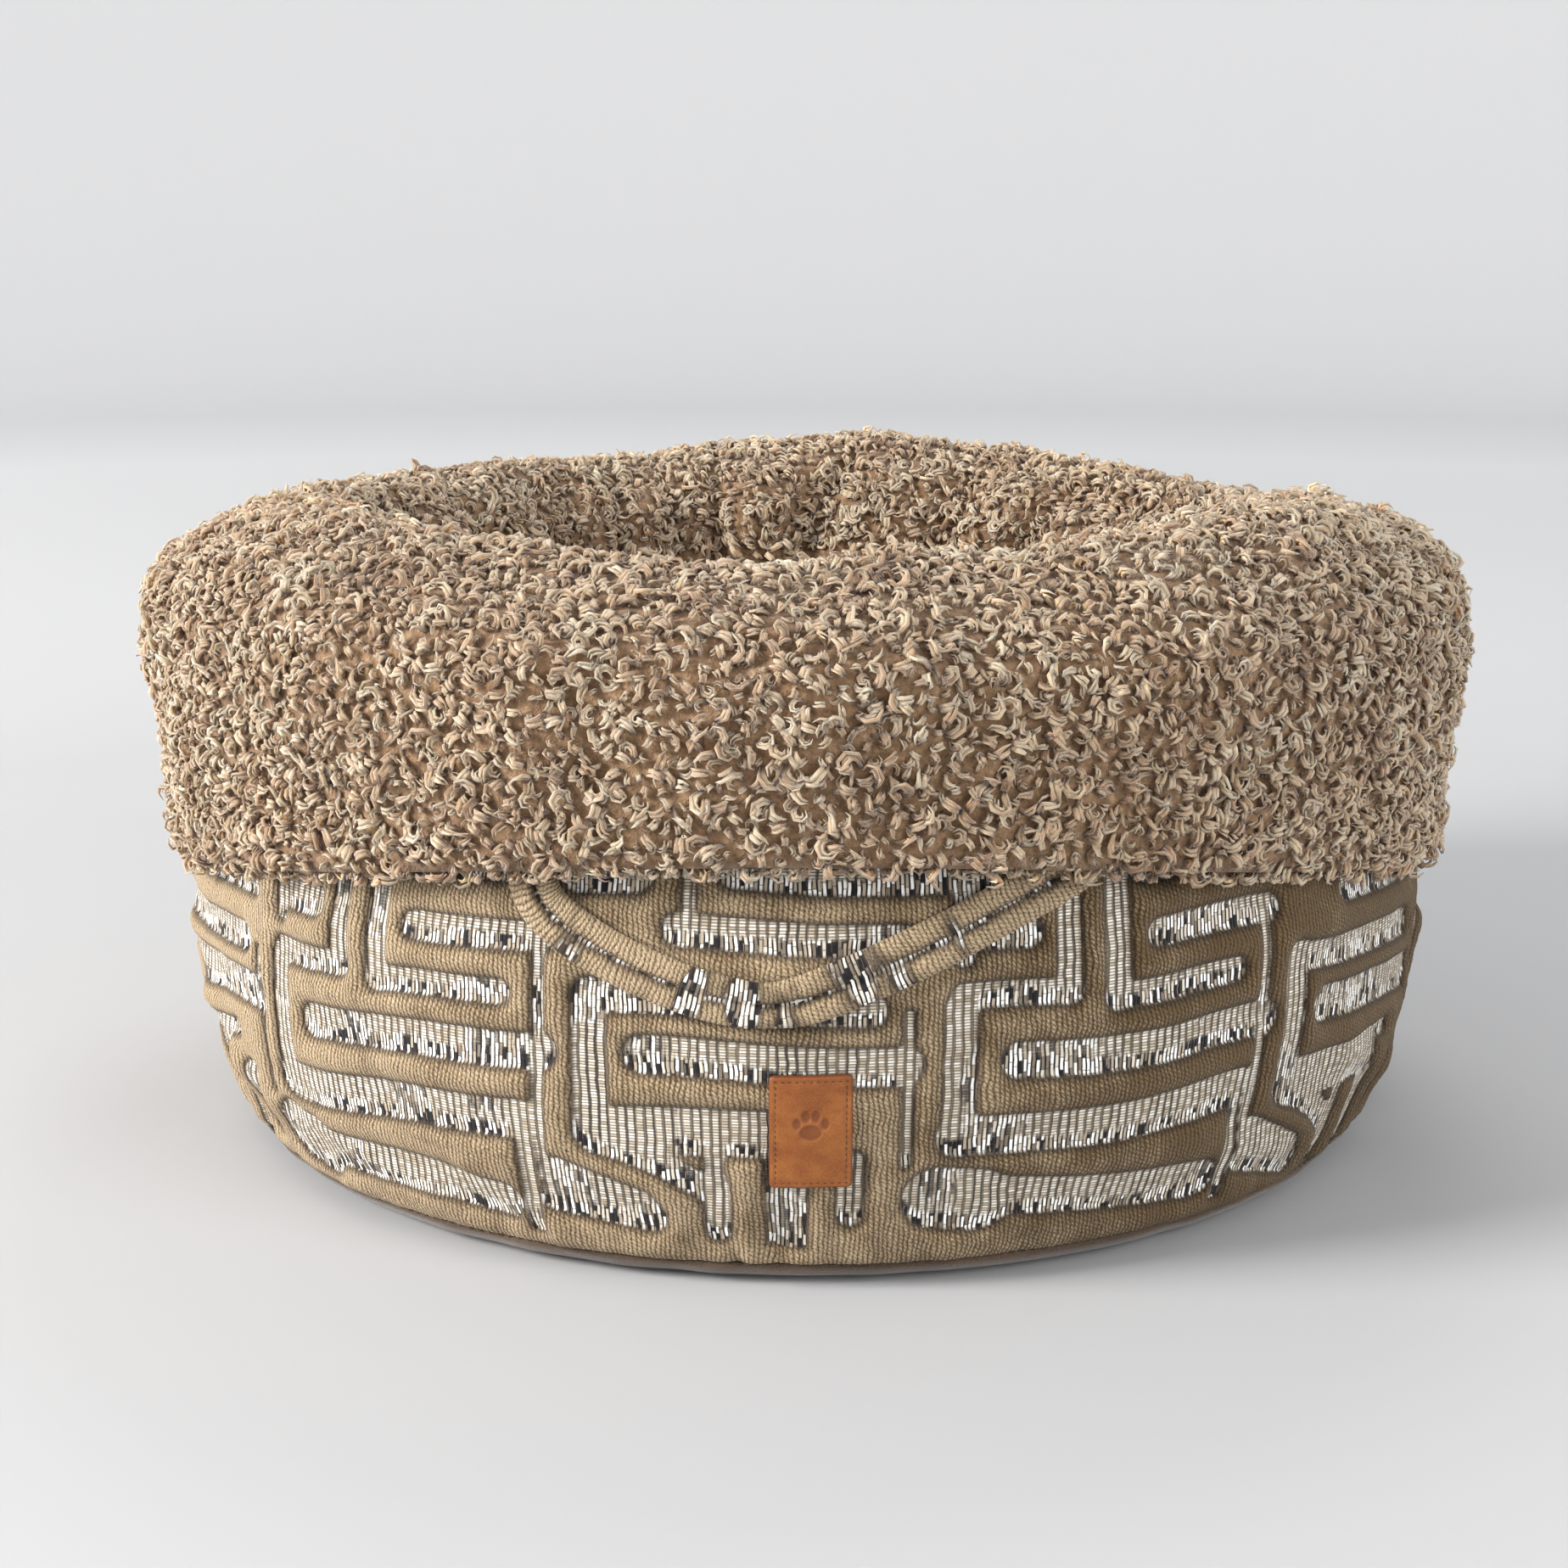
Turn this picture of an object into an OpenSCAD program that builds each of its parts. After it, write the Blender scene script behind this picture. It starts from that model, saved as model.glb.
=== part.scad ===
// Round pet bed: a stuffed wall turned down into a fur cuff, two carrying handles and a loose cushion.
// The bed stands on z = 0 with its axis on Z. The label and the front handle face -Y.

/* [Bed] */
// Widest radius, over the fur of the cuff
bed_r = 275; // [228:1:332]
// Height of the rim's crest
bed_h = 262; // [216:1:316]
// How far the crest is in from the widest ring
crest_inset = 60; // [50:1:68]
// Width of the stuffed rim, from the cuff's outside to the mouth
rim_width = 117; // [104:1:132]
// How much wider the hollow is at its floor than at its mouth
floor_spread = 14; // [8:1:20]

/* [Wall] */
// How far the cuff stands out past the wall's widest ring
cuff_proud = 16; // [15:0.5:20]
// Depth of the wall's widest ring below the hem at the two sides
belly_drop = 24; // [14:1:34]
// How far the wall draws in from its widest ring to the base seam
wall_taper = 18.5; // [12:0.5:24]
// How far the wall leans in from its widest ring to the fold
wall_lean = 26; // [20:0.5:32]
// Depth of the fold below the crest
fold_drop = 34; // [28:1:42]
// Thickness of the patterned upholstery cloth
panel_t = 1.6; // [1.2:0.1:2.4]
// Width of the pocket between the wall and the turned-down cuff
pocket_gap = 7; // [6.5:0.1:9]

/* [Cuff] */
// Drop of the hem below the crest, at the front and the back
hem_drop_front = 99; // [82:1:119]
// Drop of the hem below the crest, at the two sides
hem_drop_side = 146; // [130:1:160]
// Drop of the cuff's widest ring below the crest
cuff_belly_drop = 49; // [40:1:60]
// Height of the band of cloth that closes the hem
hem_tape_h = 4; // [3:0.5:6]

/* [Fur] */
// Thickness of the fur, backing and curls together
fur_t = 7; // [5.5:0.5:8.5]
// Thickness of the fur where it is pressed flat at the hem
hem_fur_t = 3.6; // [3:0.1:4]

/* [Base] */
// Thickness of the base cloth
base_t = 2.4; // [1.6:0.1:3]
// How far the flat underside is in from the base seam
foot_inset = 15; // [10:1:20]
// Height of the base seam
seam_z = 9.2; // [8:0.1:12]
// Thickness of the wadding under the floor
base_wadding_t = 20; // [14:1:26]
// Radius of the sewing thread in the seams
thread_r = 0.7; // [0.4:0.1:0.9]
// Width of the side seams, as an angle in degrees
side_seam_a = 0.4; // [0.2:0.1:0.8]

/* [Label] */
// Width of the leather label
label_w = 29; // [24:1:40]
// Height of the leather label
label_h = 44; // [36:1:53]
// Where the label sits in the free height between the base seam and the handle, from 0, low, to 1, high
label_rise = 0.66; // [0.1:0.01:0.9]
// Thickness of the leather
label_t = 2; // [1.4:0.1:2.6]
// Radius of the label's corners
label_corner_r = 1.5; // [0.5:0.1:4]
// Distance of the stitches from the label's edge
stitch_inset = 2.2; // [1.5:0.1:4]
// Spacing of the label's stitches
stitch_pitch = 2.9; // [2.4:0.1:4]

/* [Handles] */
// Half the distance between a handle's two ends
handle_half = 98; // [80:1:118]
// Drop of a handle's middle below its bend line
handle_drop = 42; // [35:1:51]
// Width of the handle strap
handle_w = 18; // [15:0.5:20]
// Thickness of the handle strap
handle_t = 4.6; // [3.8:0.1:5]
// Length of the strap's ends that are sewn under the cuff
handle_tab = 23; // [20:1:28]
// Thickness of the cloth round the handle's core
handle_cloth_t = 1.2; // [0.8:0.1:1.4]
// Gap between the hanging handle and the wall
handle_gap = 1.2; // [0.8:0.1:1.6]
// Distance of the bend line outwards from the strap's ends
handle_bend_out = 10; // [8:0.5:12]
// Height of the stretch of strap that bends, left open between its ends and its loop
bend_gap = 5; // [4:0.5:7]

/* [Cushion] */
// Radial gap between the cushion and the mouth that it lifts out through
cushion_clear = 9.5; // [9:0.5:14]
// Thickness of the cushion at its centre
cushion_h = 66; // [55:1:79]
// Height of the upright band round the cushion's edge
cushion_band_h = 16; // [15:0.5:20]
// Radius of the cushion's lower edge
cushion_corner = 16; // [12:1:20]
// Thickness of the cushion's lower cloth
cushion_cloth_t = 1.2; // [0.8:0.1:1.6]
// Gap between the cushion and the floor of the bed
cushion_gap = 0.3; // [0.2:0.1:1]

/* [Zip] */
// Length of the zip, as an angle round the cushion in degrees
zip_a = 170; // [120:1:175]
// Width of the zip tape
zip_tape_w = 13; // [11:0.5:14]
// Thickness of the zip tape
zip_tape_t = 0.6; // [0.4:0.1:0.8]
// Width of the closed row of teeth
zip_teeth_w = 4.4; // [3.6:0.1:5]
// Thickness of the teeth
zip_teeth_t = 1.2; // [1:0.1:1.5]
// Angle between one tooth and the next, in degrees
zip_pitch_a = 1.25; // [1:0.05:2]
// Length of the slider
slider_l = 10; // [8:0.5:12]
// Length of the pull tab, from its hinge to its end
pull_l = 14; // [11:0.5:14]

/* [Hidden] */
$fn = 96;
steps = 4;
layer_gap = 0.1;
fur = "#a98f78";
cloth = "#b7a585";

// rings and heights that follow from the sizes above
wall_r = bed_r - cuff_proud;
base_r = wall_r - wall_taper;
foot_r = base_r - foot_inset;
crest_r = bed_r - crest_inset;
mouth_r = bed_r - rim_width;
floor_r = mouth_r + floor_spread;
fold_z = bed_h - fold_drop;
hem_front_z = bed_h - hem_drop_front;
hem_side_z = bed_h - hem_drop_side;
belly_z = hem_side_z - belly_drop;
cuff_belly_z = bed_h - cuff_belly_drop;
floor_z = base_t + base_wadding_t + fur_t;
floor_rim_r = floor_r + fur_t - layer_gap;
wall_low_z = seam_z + thread_r + layer_gap;
facing_r = wall_r + 0.8;

// the hem is where an upright arch, a long cylinder along Y, cuts the cuff off
hem_rise = hem_front_z - hem_side_z;
hem_arch_r = (pow(bed_r, 2) + pow(hem_rise, 2)) / (2 * hem_rise);
hem_arch_z = hem_front_z - hem_arch_r;

function hem_at(x) = hem_arch_z + sqrt(pow(hem_arch_r, 2) - pow(x, 2));

// radius of the wall's outer face at height z
function wall_at(z) =
    wall_r - (z < belly_z ? wall_taper : wall_lean)
    * pow((z - belly_z) / (z < belly_z ? belly_z - seam_z : fold_z - belly_z), 2);

function facing_at(z) = min(wall_at(z) + pocket_gap, facing_r);

// a smooth curve through the points p, with n steps from each to the next
function knot(p, i) = p[max(0, min(len(p) - 1, i))];
function blend_at(a, b, c, d, t) =
    0.5 * (2 * b + (c - a) * t + (2 * a - 5 * b + 4 * c - d) * t * t + (3 * b - a - 3 * c + d) * t * t * t);
function smooth(p, n) = concat(
    [for (i = [0:len(p) - 2], k = [0:n - 1])
        blend_at(knot(p, i - 1), p[i], p[i + 1], knot(p, i + 2), k / n)],
    [p[len(p) - 1]]);

// the path p moved by d to the left of the way it runs
function left_of(v) = [-v[1], v[0]] / norm(v);
function shifted(p, d) = [for (i = [0:len(p) - 1]) p[i] + d * left_of(knot(p, i + 1) - knot(p, i - 1))];
function reversed(p) = [for (i = [len(p) - 1:-1:0]) p[i]];
function part_of(p, a, b) = [for (i = [a:b]) p[i]];

// outer face of the wall from the base seam up, over the fold and down behind the cuff
wall_steps = 16;
fold_steps = 6;
wall_path = [for (i = [0:wall_steps]) let (z = wall_low_z + (fold_z - wall_low_z) * i / wall_steps) [wall_at(z), z]];
fold_path = [for (i = [1:fold_steps]) let (a = 180 - 180 * i / fold_steps)
    [wall_at(fold_z) + pocket_gap / 2 * (1 + cos(a)), fold_z + pocket_gap / 2 * sin(a)]];
facing_low_z = hem_side_z - 8;
facing_path = [for (i = [1:wall_steps]) let (z = fold_z + (facing_low_z - fold_z) * i / wall_steps) [facing_at(z), z]];
turned_path = concat(wall_path, fold_path, facing_path);
turned_back = shifted(turned_path, panel_t);
fold_top_i = wall_steps + fold_steps / 2;

// fur face from below the hem, up the cuff, over the crest and down to the floor
fur_knots = [
    [bed_r - 9.5, hem_side_z - 12],
    [bed_r - 4.5, hem_side_z + 40],
    [bed_r, cuff_belly_z],
    [bed_r - 12, bed_h - 22],
    [crest_r, bed_h],
    [mouth_r + 18, bed_h - 13],
    [mouth_r, bed_h - 50],
    [mouth_r + floor_spread / 3, (bed_h + floor_z) / 2 - 5],
    [floor_r, floor_z]];
crest_i = 4 * steps;
fur_path = smooth(fur_knots, steps);

// the inside of the fur, and what lies `gap` further in
function fur_inside(gap) = [for (i = [0:len(fur_path) - 1])
    shifted(fur_path, gap + min(fur_t, hem_fur_t + (fur_t - hem_fur_t) * i / steps))[i]];
fur_back = fur_inside(0);

module ring(outline, from = 0, sweep = 360) {
    rotate([0, 0, from])
        rotate_extrude(angle = sweep)
            polygon(outline);
}

module hem_arch(r) {
    translate([0, 0, hem_arch_z])
        rotate([90, 0, 0])
            cylinder(h = 4 * bed_r, r = r, center = true, $fn = 256);
}

// half of a sleeve of cloth, clear of the side seams
module half_ring(outline, side) {
    ring(outline, (side == "back" ? 0 : 180) + side_seam_a / 2, 180 - side_seam_a);
}

module wall_panel(side) {
    color(cloth) {
        half_ring(concat(part_of(turned_path, 0, fold_top_i), reversed(part_of(turned_back, 0, fold_top_i))), side);
        difference() {
            half_ring(concat(
                part_of(turned_path, fold_top_i - 1, len(turned_path) - 1),
                reversed(part_of(turned_back, fold_top_i - 1, len(turned_path) - 1))), side);
            hem_arch(hem_arch_r);
        }
    }
}

module front_wall_panel() {
    wall_panel("front");
}

module back_wall_panel() {
    wall_panel("back");
}

module fur_lining(side) {
    color(fur)
        difference() {
            half_ring(concat(fur_path, reversed(fur_back)), side);
            intersection() {
                hem_arch(hem_arch_r);
                ring([[crest_r, 0], [bed_r + 9, 0], [bed_r + 9, bed_h], [crest_r, bed_h]]);
            }
        }
}

module front_fur_lining() {
    fur_lining("front");
}

module back_fur_lining() {
    fur_lining("back");
}

// outline of the space between the folded cloth and the fur outside the fold
module cuff_space() {
    ring(concat(
        [for (i = [fold_top_i:len(turned_back) - 1]) turned_back[i] + [layer_gap, 0]],
        part_of(fur_inside(layer_gap), 0, crest_i - 1),
        [fur_inside(layer_gap)[crest_i] + [layer_gap, 0]]));
}

module cuff_wadding() {
    color("#efe9dd")
        difference() {
            cuff_space();
            hem_arch(hem_arch_r + hem_tape_h + layer_gap);
        }
}

module cuff_hem_tape() {
    color("#8d7a66")
        difference() {
            intersection() {
                cuff_space();
                hem_arch(hem_arch_r + hem_tape_h);
            }
            hem_arch(hem_arch_r);
        }
}

module wall_wadding() {
    color("#efe9dd")
        ring(concat(
            [[floor_r + fur_t + layer_gap, base_t], [foot_r - 1, base_t], turned_back[0]],
            part_of(turned_back, 1, fold_top_i),
            part_of(fur_inside(layer_gap), crest_i, len(fur_back) - 1)));
}

module base_panel() {
    color("#4a3a2c")
        ring([[0, 0], [foot_r, 0], [base_r - 5, seam_z / 3], [base_r, seam_z - thread_r],
            [base_r - panel_t, seam_z - thread_r], [base_r - 5 - panel_t, seam_z / 3 + base_t],
            [foot_r - 1, base_t], [0, base_t]]);
}

module base_wadding() {
    color("#efe9dd")
        translate([0, 0, base_t])
            cylinder(h = base_wadding_t, r = floor_rim_r);
}

module floor_lining() {
    color(fur)
        translate([0, 0, base_t + base_wadding_t])
            cylinder(h = fur_t - layer_gap, r = floor_rim_r);
}

module thread_ring(r, z) {
    color("#3a2e22")
        rotate_extrude()
            translate([r, z])
                circle(r = thread_r, $fn = 24);
}

module base_seam_thread() {
    thread_ring(base_r - thread_r, seam_z);
}

module side_seam_threads() {
    low_i = 1;
    high_i = wall_steps;
    color("#3a2e22")
        for (a = [0, 180])
            ring(concat(part_of(turned_path, low_i, high_i), reversed(part_of(turned_back, low_i, high_i))),
                a - side_seam_a / 2, side_seam_a);
}

// what lies over the wall between two distances out from it, from one height to another
module over_wall(near, far, low, high) {
    zs = [for (i = [0:8]) low + (high - low) * i / 8];
    ring(concat(
        [for (z = zs) [wall_at(z) + near, z]],
        [for (i = [8:-1:0]) [wall_at(zs[i]) + far, zs[i]]]), 180, 180);
}

module facing_front(z) {
    translate([0, 0, z])
        rotate([90, 0, 0])
            linear_extrude(height = bed_r)
                children();
}

module leather_label() {
    color("#b4611f")
        intersection() {
            over_wall(layer_gap, layer_gap + label_t, label_z - 5, label_z + label_h + 5);
            facing_front(label_mid_z)
                rounded_label();
        }
}

// the label's outline: a rectangle with four arcs for corners
module rounded_label() {
    polygon([for (q = [0:3], k = [0:4])
        let (a = 90 * q + 22.5 * k, sx = (q == 0 || q == 3) ? 1 : -1, sy = q < 2 ? 1 : -1)
        [sx * (label_w / 2 - label_corner_r) + label_corner_r * cos(a),
            sy * (label_h / 2 - label_corner_r) + label_corner_r * sin(a)]]);
}

module label_stitches() {
    run_w = label_w - 2 * stitch_inset;
    run_h = label_h - 2 * stitch_inset;
    nx = floor(run_w / stitch_pitch);
    nz = floor(run_h / stitch_pitch);
    long = stitch_pitch * 0.6;
    color("#7c3f14")
        intersection() {
            over_wall(layer_gap + label_t, layer_gap + label_t + 0.4, label_z - 5, label_z + label_h + 5);
            facing_front(label_mid_z) {
                for (i = [0:nx - 1], s = [-1, 1])
                    translate([run_w * ((i + 0.5) / nx - 0.5), s * run_h / 2])
                        square([long, 0.6], center = true);
                for (i = [0:nz - 1], s = [-1, 1])
                    translate([s * run_w / 2, run_h * ((i + 0.5) / nz - 0.5)])
                        square([0.6, long], center = true);
            }
        }
}

// the strap's middle line, across the front and up from its bend line
handle_knots = [
    [-handle_half - 2, handle_tab],
    [-handle_half, 8],
    [-handle_half + 7, -handle_drop * 0.35],
    [-handle_half * 0.57, -handle_drop * 0.8],
    [-handle_half * 0.16, -handle_drop],
    [handle_half * 0.17, -handle_drop * 0.8],
    [handle_half * 0.62, -handle_drop * 0.33],
    [handle_half, 5],
    [handle_half + 2, handle_tab]];
handle_path = smooth(handle_knots, steps);
bend_z = hem_at(handle_half) - 1;
handle_low_z = bend_z - handle_drop - handle_w / 2;
label_z = wall_low_z + label_rise * (handle_low_z - wall_low_z - label_h);
label_mid_z = label_z + label_h / 2;

handle_mid_r = wall_at(bend_z) + handle_gap + handle_t / 2;
bend_y = -sqrt(pow(handle_mid_r, 2) - pow(handle_half, 2)) - handle_bend_out;

// the strap, drawn in by `inset` on all faces
module strap(inset) {
    low = bend_z - handle_drop - handle_w;
    high = bend_z + handle_tab + handle_w;
    side = handle_w / 2 - inset;
    intersection() {
        over_wall(handle_gap + inset, handle_gap + handle_t - inset, low, high);
        facing_front(bend_z)
            polygon(concat(shifted(handle_path, side), reversed(shifted(handle_path, -side))));
    }
}

module below_bend() {
    translate([-bed_r, -bed_r, 0])
        cube([2 * bed_r, 2 * bed_r, bend_z - bend_gap / 2]);
}

module above_bend() {
    translate([-bed_r, -bed_r, bend_z + bend_gap / 2])
        cube([2 * bed_r, 2 * bed_r, bed_h]);
}

module handle_cover() {
    color(cloth)
        difference() {
            intersection() {
                strap(0);
                below_bend();
            }
            strap(handle_cloth_t);
        }
}

module handle_core() {
    color("#e8e2d6")
        intersection() {
            strap(handle_cloth_t);
            below_bend();
        }
}

module handle_ends() {
    color(cloth)
        intersection() {
            strap(0);
            above_bend();
        }
}

module handle_bartacks() {
    tack_h = 1.6;
    tack_w = handle_w - 5;
    color("#3a2e22")
        intersection() {
            over_wall(handle_gap + handle_t, handle_gap + handle_t + 0.6, bend_z, bend_z + handle_tab + 5);
            facing_front(bend_z)
                for (s = [-1, 1], up = [12, 18])
                    translate([s * (handle_half + up / 12), up])
                        square([tack_w, tack_h], center = true);
        }
}

module to_back() {
    rotate([0, 0, 180])
        children();
}

module front_handle_cover() {
    handle_cover();
}

module back_handle_cover() {
    to_back()
        handle_cover();
}

module front_handle_core() {
    handle_core();
}

module back_handle_core() {
    to_back()
        handle_core();
}

module front_handle_ends() {
    handle_ends();
}

module back_handle_ends() {
    to_back()
        handle_ends();
}

module front_handle_bartacks() {
    handle_bartacks();
}

module back_handle_bartacks() {
    to_back()
        handle_bartacks();
}

// cushion: a flat underside, a rounded lower edge, an upright band and a crowned top
cushion_r = mouth_r - cushion_clear;
cushion_z = floor_z + cushion_gap;
band_z = cushion_z + cushion_corner;
top_z = band_z + cushion_band_h;
under_path = concat(
    [[0, cushion_z]],
    [for (i = [0:5]) let (a = -90 + 18 * i)
        [cushion_r - cushion_corner * (1 - cos(a)), band_z + cushion_corner * sin(a)]],
    [[cushion_r, top_z - thread_r]]);
under_in = concat(
    [[0, cushion_z + cushion_cloth_t]],
    [for (i = [0:5]) let (a = -90 + 18 * i, r = cushion_corner - cushion_cloth_t)
        [cushion_r - cushion_corner + r * cos(a), band_z + r * sin(a)]],
    [[cushion_r - cushion_cloth_t, top_z - thread_r]]);
crown = cushion_z + cushion_h - top_z;
dome_steps = 12;

// the crowned top, drawn in by `inset`
function dome(inset) = [for (i = [0:dome_steps]) let (a = 90 * i / dome_steps)
    [(cushion_r - inset) * cos(a), top_z + thread_r + (crown - thread_r - inset) * pow(sin(a), 0.75)]];

module cushion_top_cover() {
    color(fur)
        ring(concat(dome(0), reversed(dome(fur_t))));
}

module cushion_bottom_cover() {
    color("#7d6b57")
        ring(concat(under_path, reversed(under_in)));
}

module cushion_fill() {
    color("#efe9dd")
        ring(concat(
            part_of(under_in, 0, len(under_in) - 2),
            [[cushion_r - 2 * thread_r - cushion_cloth_t, top_z - thread_r]],
            [[cushion_r - fur_t - layer_gap, top_z + thread_r]],
            part_of(dome(fur_t + layer_gap), 1, dome_steps)));
}

module cushion_seam_thread() {
    thread_ring(cushion_r - thread_r, top_z);
}

// the zip runs round the upright band; its slider starts at +X
zip_z = band_z + cushion_band_h / 2 - 1;
tape_r = cushion_r + zip_tape_t;
teeth_r = tape_r + zip_teeth_t;
slider_clear = 0.35;
slider_wall = 1.1;
slider_h = zip_teeth_w + 2 * (slider_clear + slider_wall);
plate_x = teeth_r + slider_clear;
pin_r = 0.6;
bail_hole_r = 0.9;
bail_wall = 0.7;
pin_x = plate_x + slider_wall + bail_hole_r + 0.2;
pin_z = zip_z + 1;

module arc_bar(near, far, low, high, from, sweep) {
    ring([[near, low], [far, low], [far, high], [near, high]], from, sweep);
}

module zip_tape() {
    color("#5b4a3b")
        arc_bar(cushion_r, tape_r, zip_z - zip_tape_w / 2, zip_z + zip_tape_w / 2, -5, zip_a + 10);
}

module zip_teeth() {
    teeth = floor(zip_a / zip_pitch_a);
    color("#3b3733")
        for (i = [0:teeth])
            arc_bar(tape_r, teeth_r, zip_z - zip_teeth_w / 2, zip_z + zip_teeth_w / 2,
                i * zip_pitch_a, zip_pitch_a * 0.62);
}

module zip_stops() {
    stop_a = 0.8;
    color("#8f8a82")
        for (a = [-3.4, zip_a + 2.6])
            arc_bar(tape_r, teeth_r + 0.3, zip_z - zip_teeth_w / 2 - 0.4, zip_z + zip_teeth_w / 2 + 0.4, a, stop_a);
}

module zip_slider() {
    flange_x = tape_r + slider_clear;
    color("#8f8a82") {
        difference() {
            translate([flange_x, -slider_l / 2, zip_z - slider_h / 2])
                cube([plate_x + slider_wall - flange_x, slider_l, slider_h]);
            translate([flange_x - 1, -slider_l, zip_z - zip_teeth_w / 2 - slider_clear])
                cube([plate_x - flange_x + 1, 2 * slider_l, zip_teeth_w + 2 * slider_clear]);
        }
        difference() {
            translate([plate_x + slider_wall - 0.2, -1, pin_z - 2])
                cube([pin_x + bail_hole_r + bail_wall - plate_x - slider_wall + 0.2, 2, 4]);
            translate([pin_x, 0, pin_z])
                rotate([90, 0, 0])
                    cylinder(h = 4, r = bail_hole_r, center = true, $fn = 32);
        }
    }
}

module zip_pull() {
    arm_y = 2;
    pull_w = 6;
    pull_t = 1;
    color("#8f8a82")
        translate([pin_x, 0, pin_z]) {
            rotate([90, 0, 0])
                cylinder(h = 2 * arm_y, r = pin_r, center = true, $fn = 32);
            for (s = [-1, 1])
                translate([-pull_t / 2, s * arm_y - 0.5, -5])
                    cube([pull_t, 1, 5 + pin_r]);
            translate([-pull_t / 2, -pull_w / 2, -pull_l])
                cube([pull_t, pull_w, pull_l - 4.6]);
        }
}

base_panel();
base_wadding();
floor_lining();
front_wall_panel();
back_wall_panel();
wall_wadding();
front_fur_lining();
back_fur_lining();
cuff_wadding();
cuff_hem_tape();
base_seam_thread();
side_seam_threads();
leather_label();
label_stitches();
front_handle_ends();
back_handle_ends();
front_handle_bartacks();
back_handle_bartacks();
front_handle_cover();
front_handle_core();
back_handle_cover();
back_handle_core();
cushion_top_cover();
cushion_bottom_cover();
cushion_fill();
cushion_seam_thread();
zip_tape();
zip_teeth();
zip_stops();
zip_slider();
zip_pull();
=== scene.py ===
import math

import bmesh
import bpy
import numpy as np
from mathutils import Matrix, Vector, noise


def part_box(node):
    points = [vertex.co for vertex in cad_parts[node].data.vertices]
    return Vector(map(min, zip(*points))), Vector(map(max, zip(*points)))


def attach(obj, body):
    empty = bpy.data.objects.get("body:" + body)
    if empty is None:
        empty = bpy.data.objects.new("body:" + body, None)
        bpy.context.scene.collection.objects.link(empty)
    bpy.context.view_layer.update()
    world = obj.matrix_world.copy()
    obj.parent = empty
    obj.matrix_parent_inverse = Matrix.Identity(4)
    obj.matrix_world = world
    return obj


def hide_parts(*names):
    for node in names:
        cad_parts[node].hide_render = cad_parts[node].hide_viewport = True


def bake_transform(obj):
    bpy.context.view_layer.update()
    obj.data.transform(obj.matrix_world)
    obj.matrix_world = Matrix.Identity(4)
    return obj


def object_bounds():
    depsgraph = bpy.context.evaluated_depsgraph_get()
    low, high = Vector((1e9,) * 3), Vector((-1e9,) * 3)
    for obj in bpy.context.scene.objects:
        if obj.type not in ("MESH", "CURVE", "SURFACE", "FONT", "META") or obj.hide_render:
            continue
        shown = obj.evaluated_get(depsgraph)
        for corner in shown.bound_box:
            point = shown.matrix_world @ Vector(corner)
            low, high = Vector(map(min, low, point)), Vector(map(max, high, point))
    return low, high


# Pet cushion bed: velvet wall with a turned-down fur cuff, two strap handles and a lift-out cushion.
# Lengths are in millimetres until a mesh is made. phi is the angle round the upright axis, from the
# front (-Y) towards the right (+X); s is the same way round in millimetres, at clothRadius.

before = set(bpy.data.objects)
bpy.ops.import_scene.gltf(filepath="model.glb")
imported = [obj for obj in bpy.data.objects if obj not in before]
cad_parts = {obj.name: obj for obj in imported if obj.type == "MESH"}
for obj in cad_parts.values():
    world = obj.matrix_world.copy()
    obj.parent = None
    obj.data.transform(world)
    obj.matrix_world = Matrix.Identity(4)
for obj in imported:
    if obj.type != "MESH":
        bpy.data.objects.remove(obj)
cadLow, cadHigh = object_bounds()
mm = 0.001
print("frame loaded")


def boxOf(node):
    low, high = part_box(node)
    return np.array(low) / mm, np.array(high) / mm


def smoothStep(low, high, value):
    t = np.clip((np.asarray(value, float) - low) / (high - low), 0, 1)
    return t * t * (3 - 2 * t)


def around(phi, radius, height):
    # phi 0 is the front (-Y), 90 degrees is +X
    return np.stack([radius * np.sin(phi), -radius * np.cos(phi), height + 0 * phi], axis=-1)


def roundAngles(count):
    return np.arange(count) * 2 * math.pi / count


def circle(phi):
    # a ring of unit size, used to sample noise that closes on itself
    return np.stack([np.cos(phi), np.sin(phi), 0 * phi], axis=-1)


def outwardOf(points):
    # level unit vectors away from the upright axis
    outward = points.copy()
    outward[..., 2] = 0
    return outward / np.linalg.norm(outward, axis=-1, keepdims=True)


def curveThrough(knots, perSpan):
    # Catmull-Rom, as in the part's source
    p = np.array([knots[0], *knots, knots[-1]], float)
    out = []
    for i in range(1, len(p) - 2):
        a, b, c, d = p[i - 1:i + 3]
        for k in range(perSpan):
            t = k / perSpan
            out.append(0.5 * (2 * b + (c - a) * t + (2 * a - 5 * b + 4 * c - d) * t ** 2
                              + (3 * b - a - 3 * c + d) * t ** 3))
    out.append(p[-2])
    return np.array(out)


def leftOf(path):
    step = np.gradient(path, axis=0)
    step /= np.linalg.norm(step, axis=1, keepdims=True)
    return np.stack([-step[:, 1], step[:, 0]], axis=1)


def softNoise(points, size, seed=0.0):
    # smooth noise from -1 to 1 with features about `size` across
    p = np.asarray(points, float).reshape(-1, 3) / size + seed
    return np.array([noise.noise(Vector(q)) for q in p]).reshape(np.shape(points)[:-1])


def gridFaces(rows, cols, wrap=False, start=0):
    j = np.arange(cols if wrap else cols - 1)
    i = np.arange(rows - 1)[:, None]
    a, b = i * cols + j, i * cols + (j + 1) % cols
    return (np.stack([a, b, b + cols, a + cols], axis=-1).reshape(-1, 4) + start).tolist()


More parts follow.
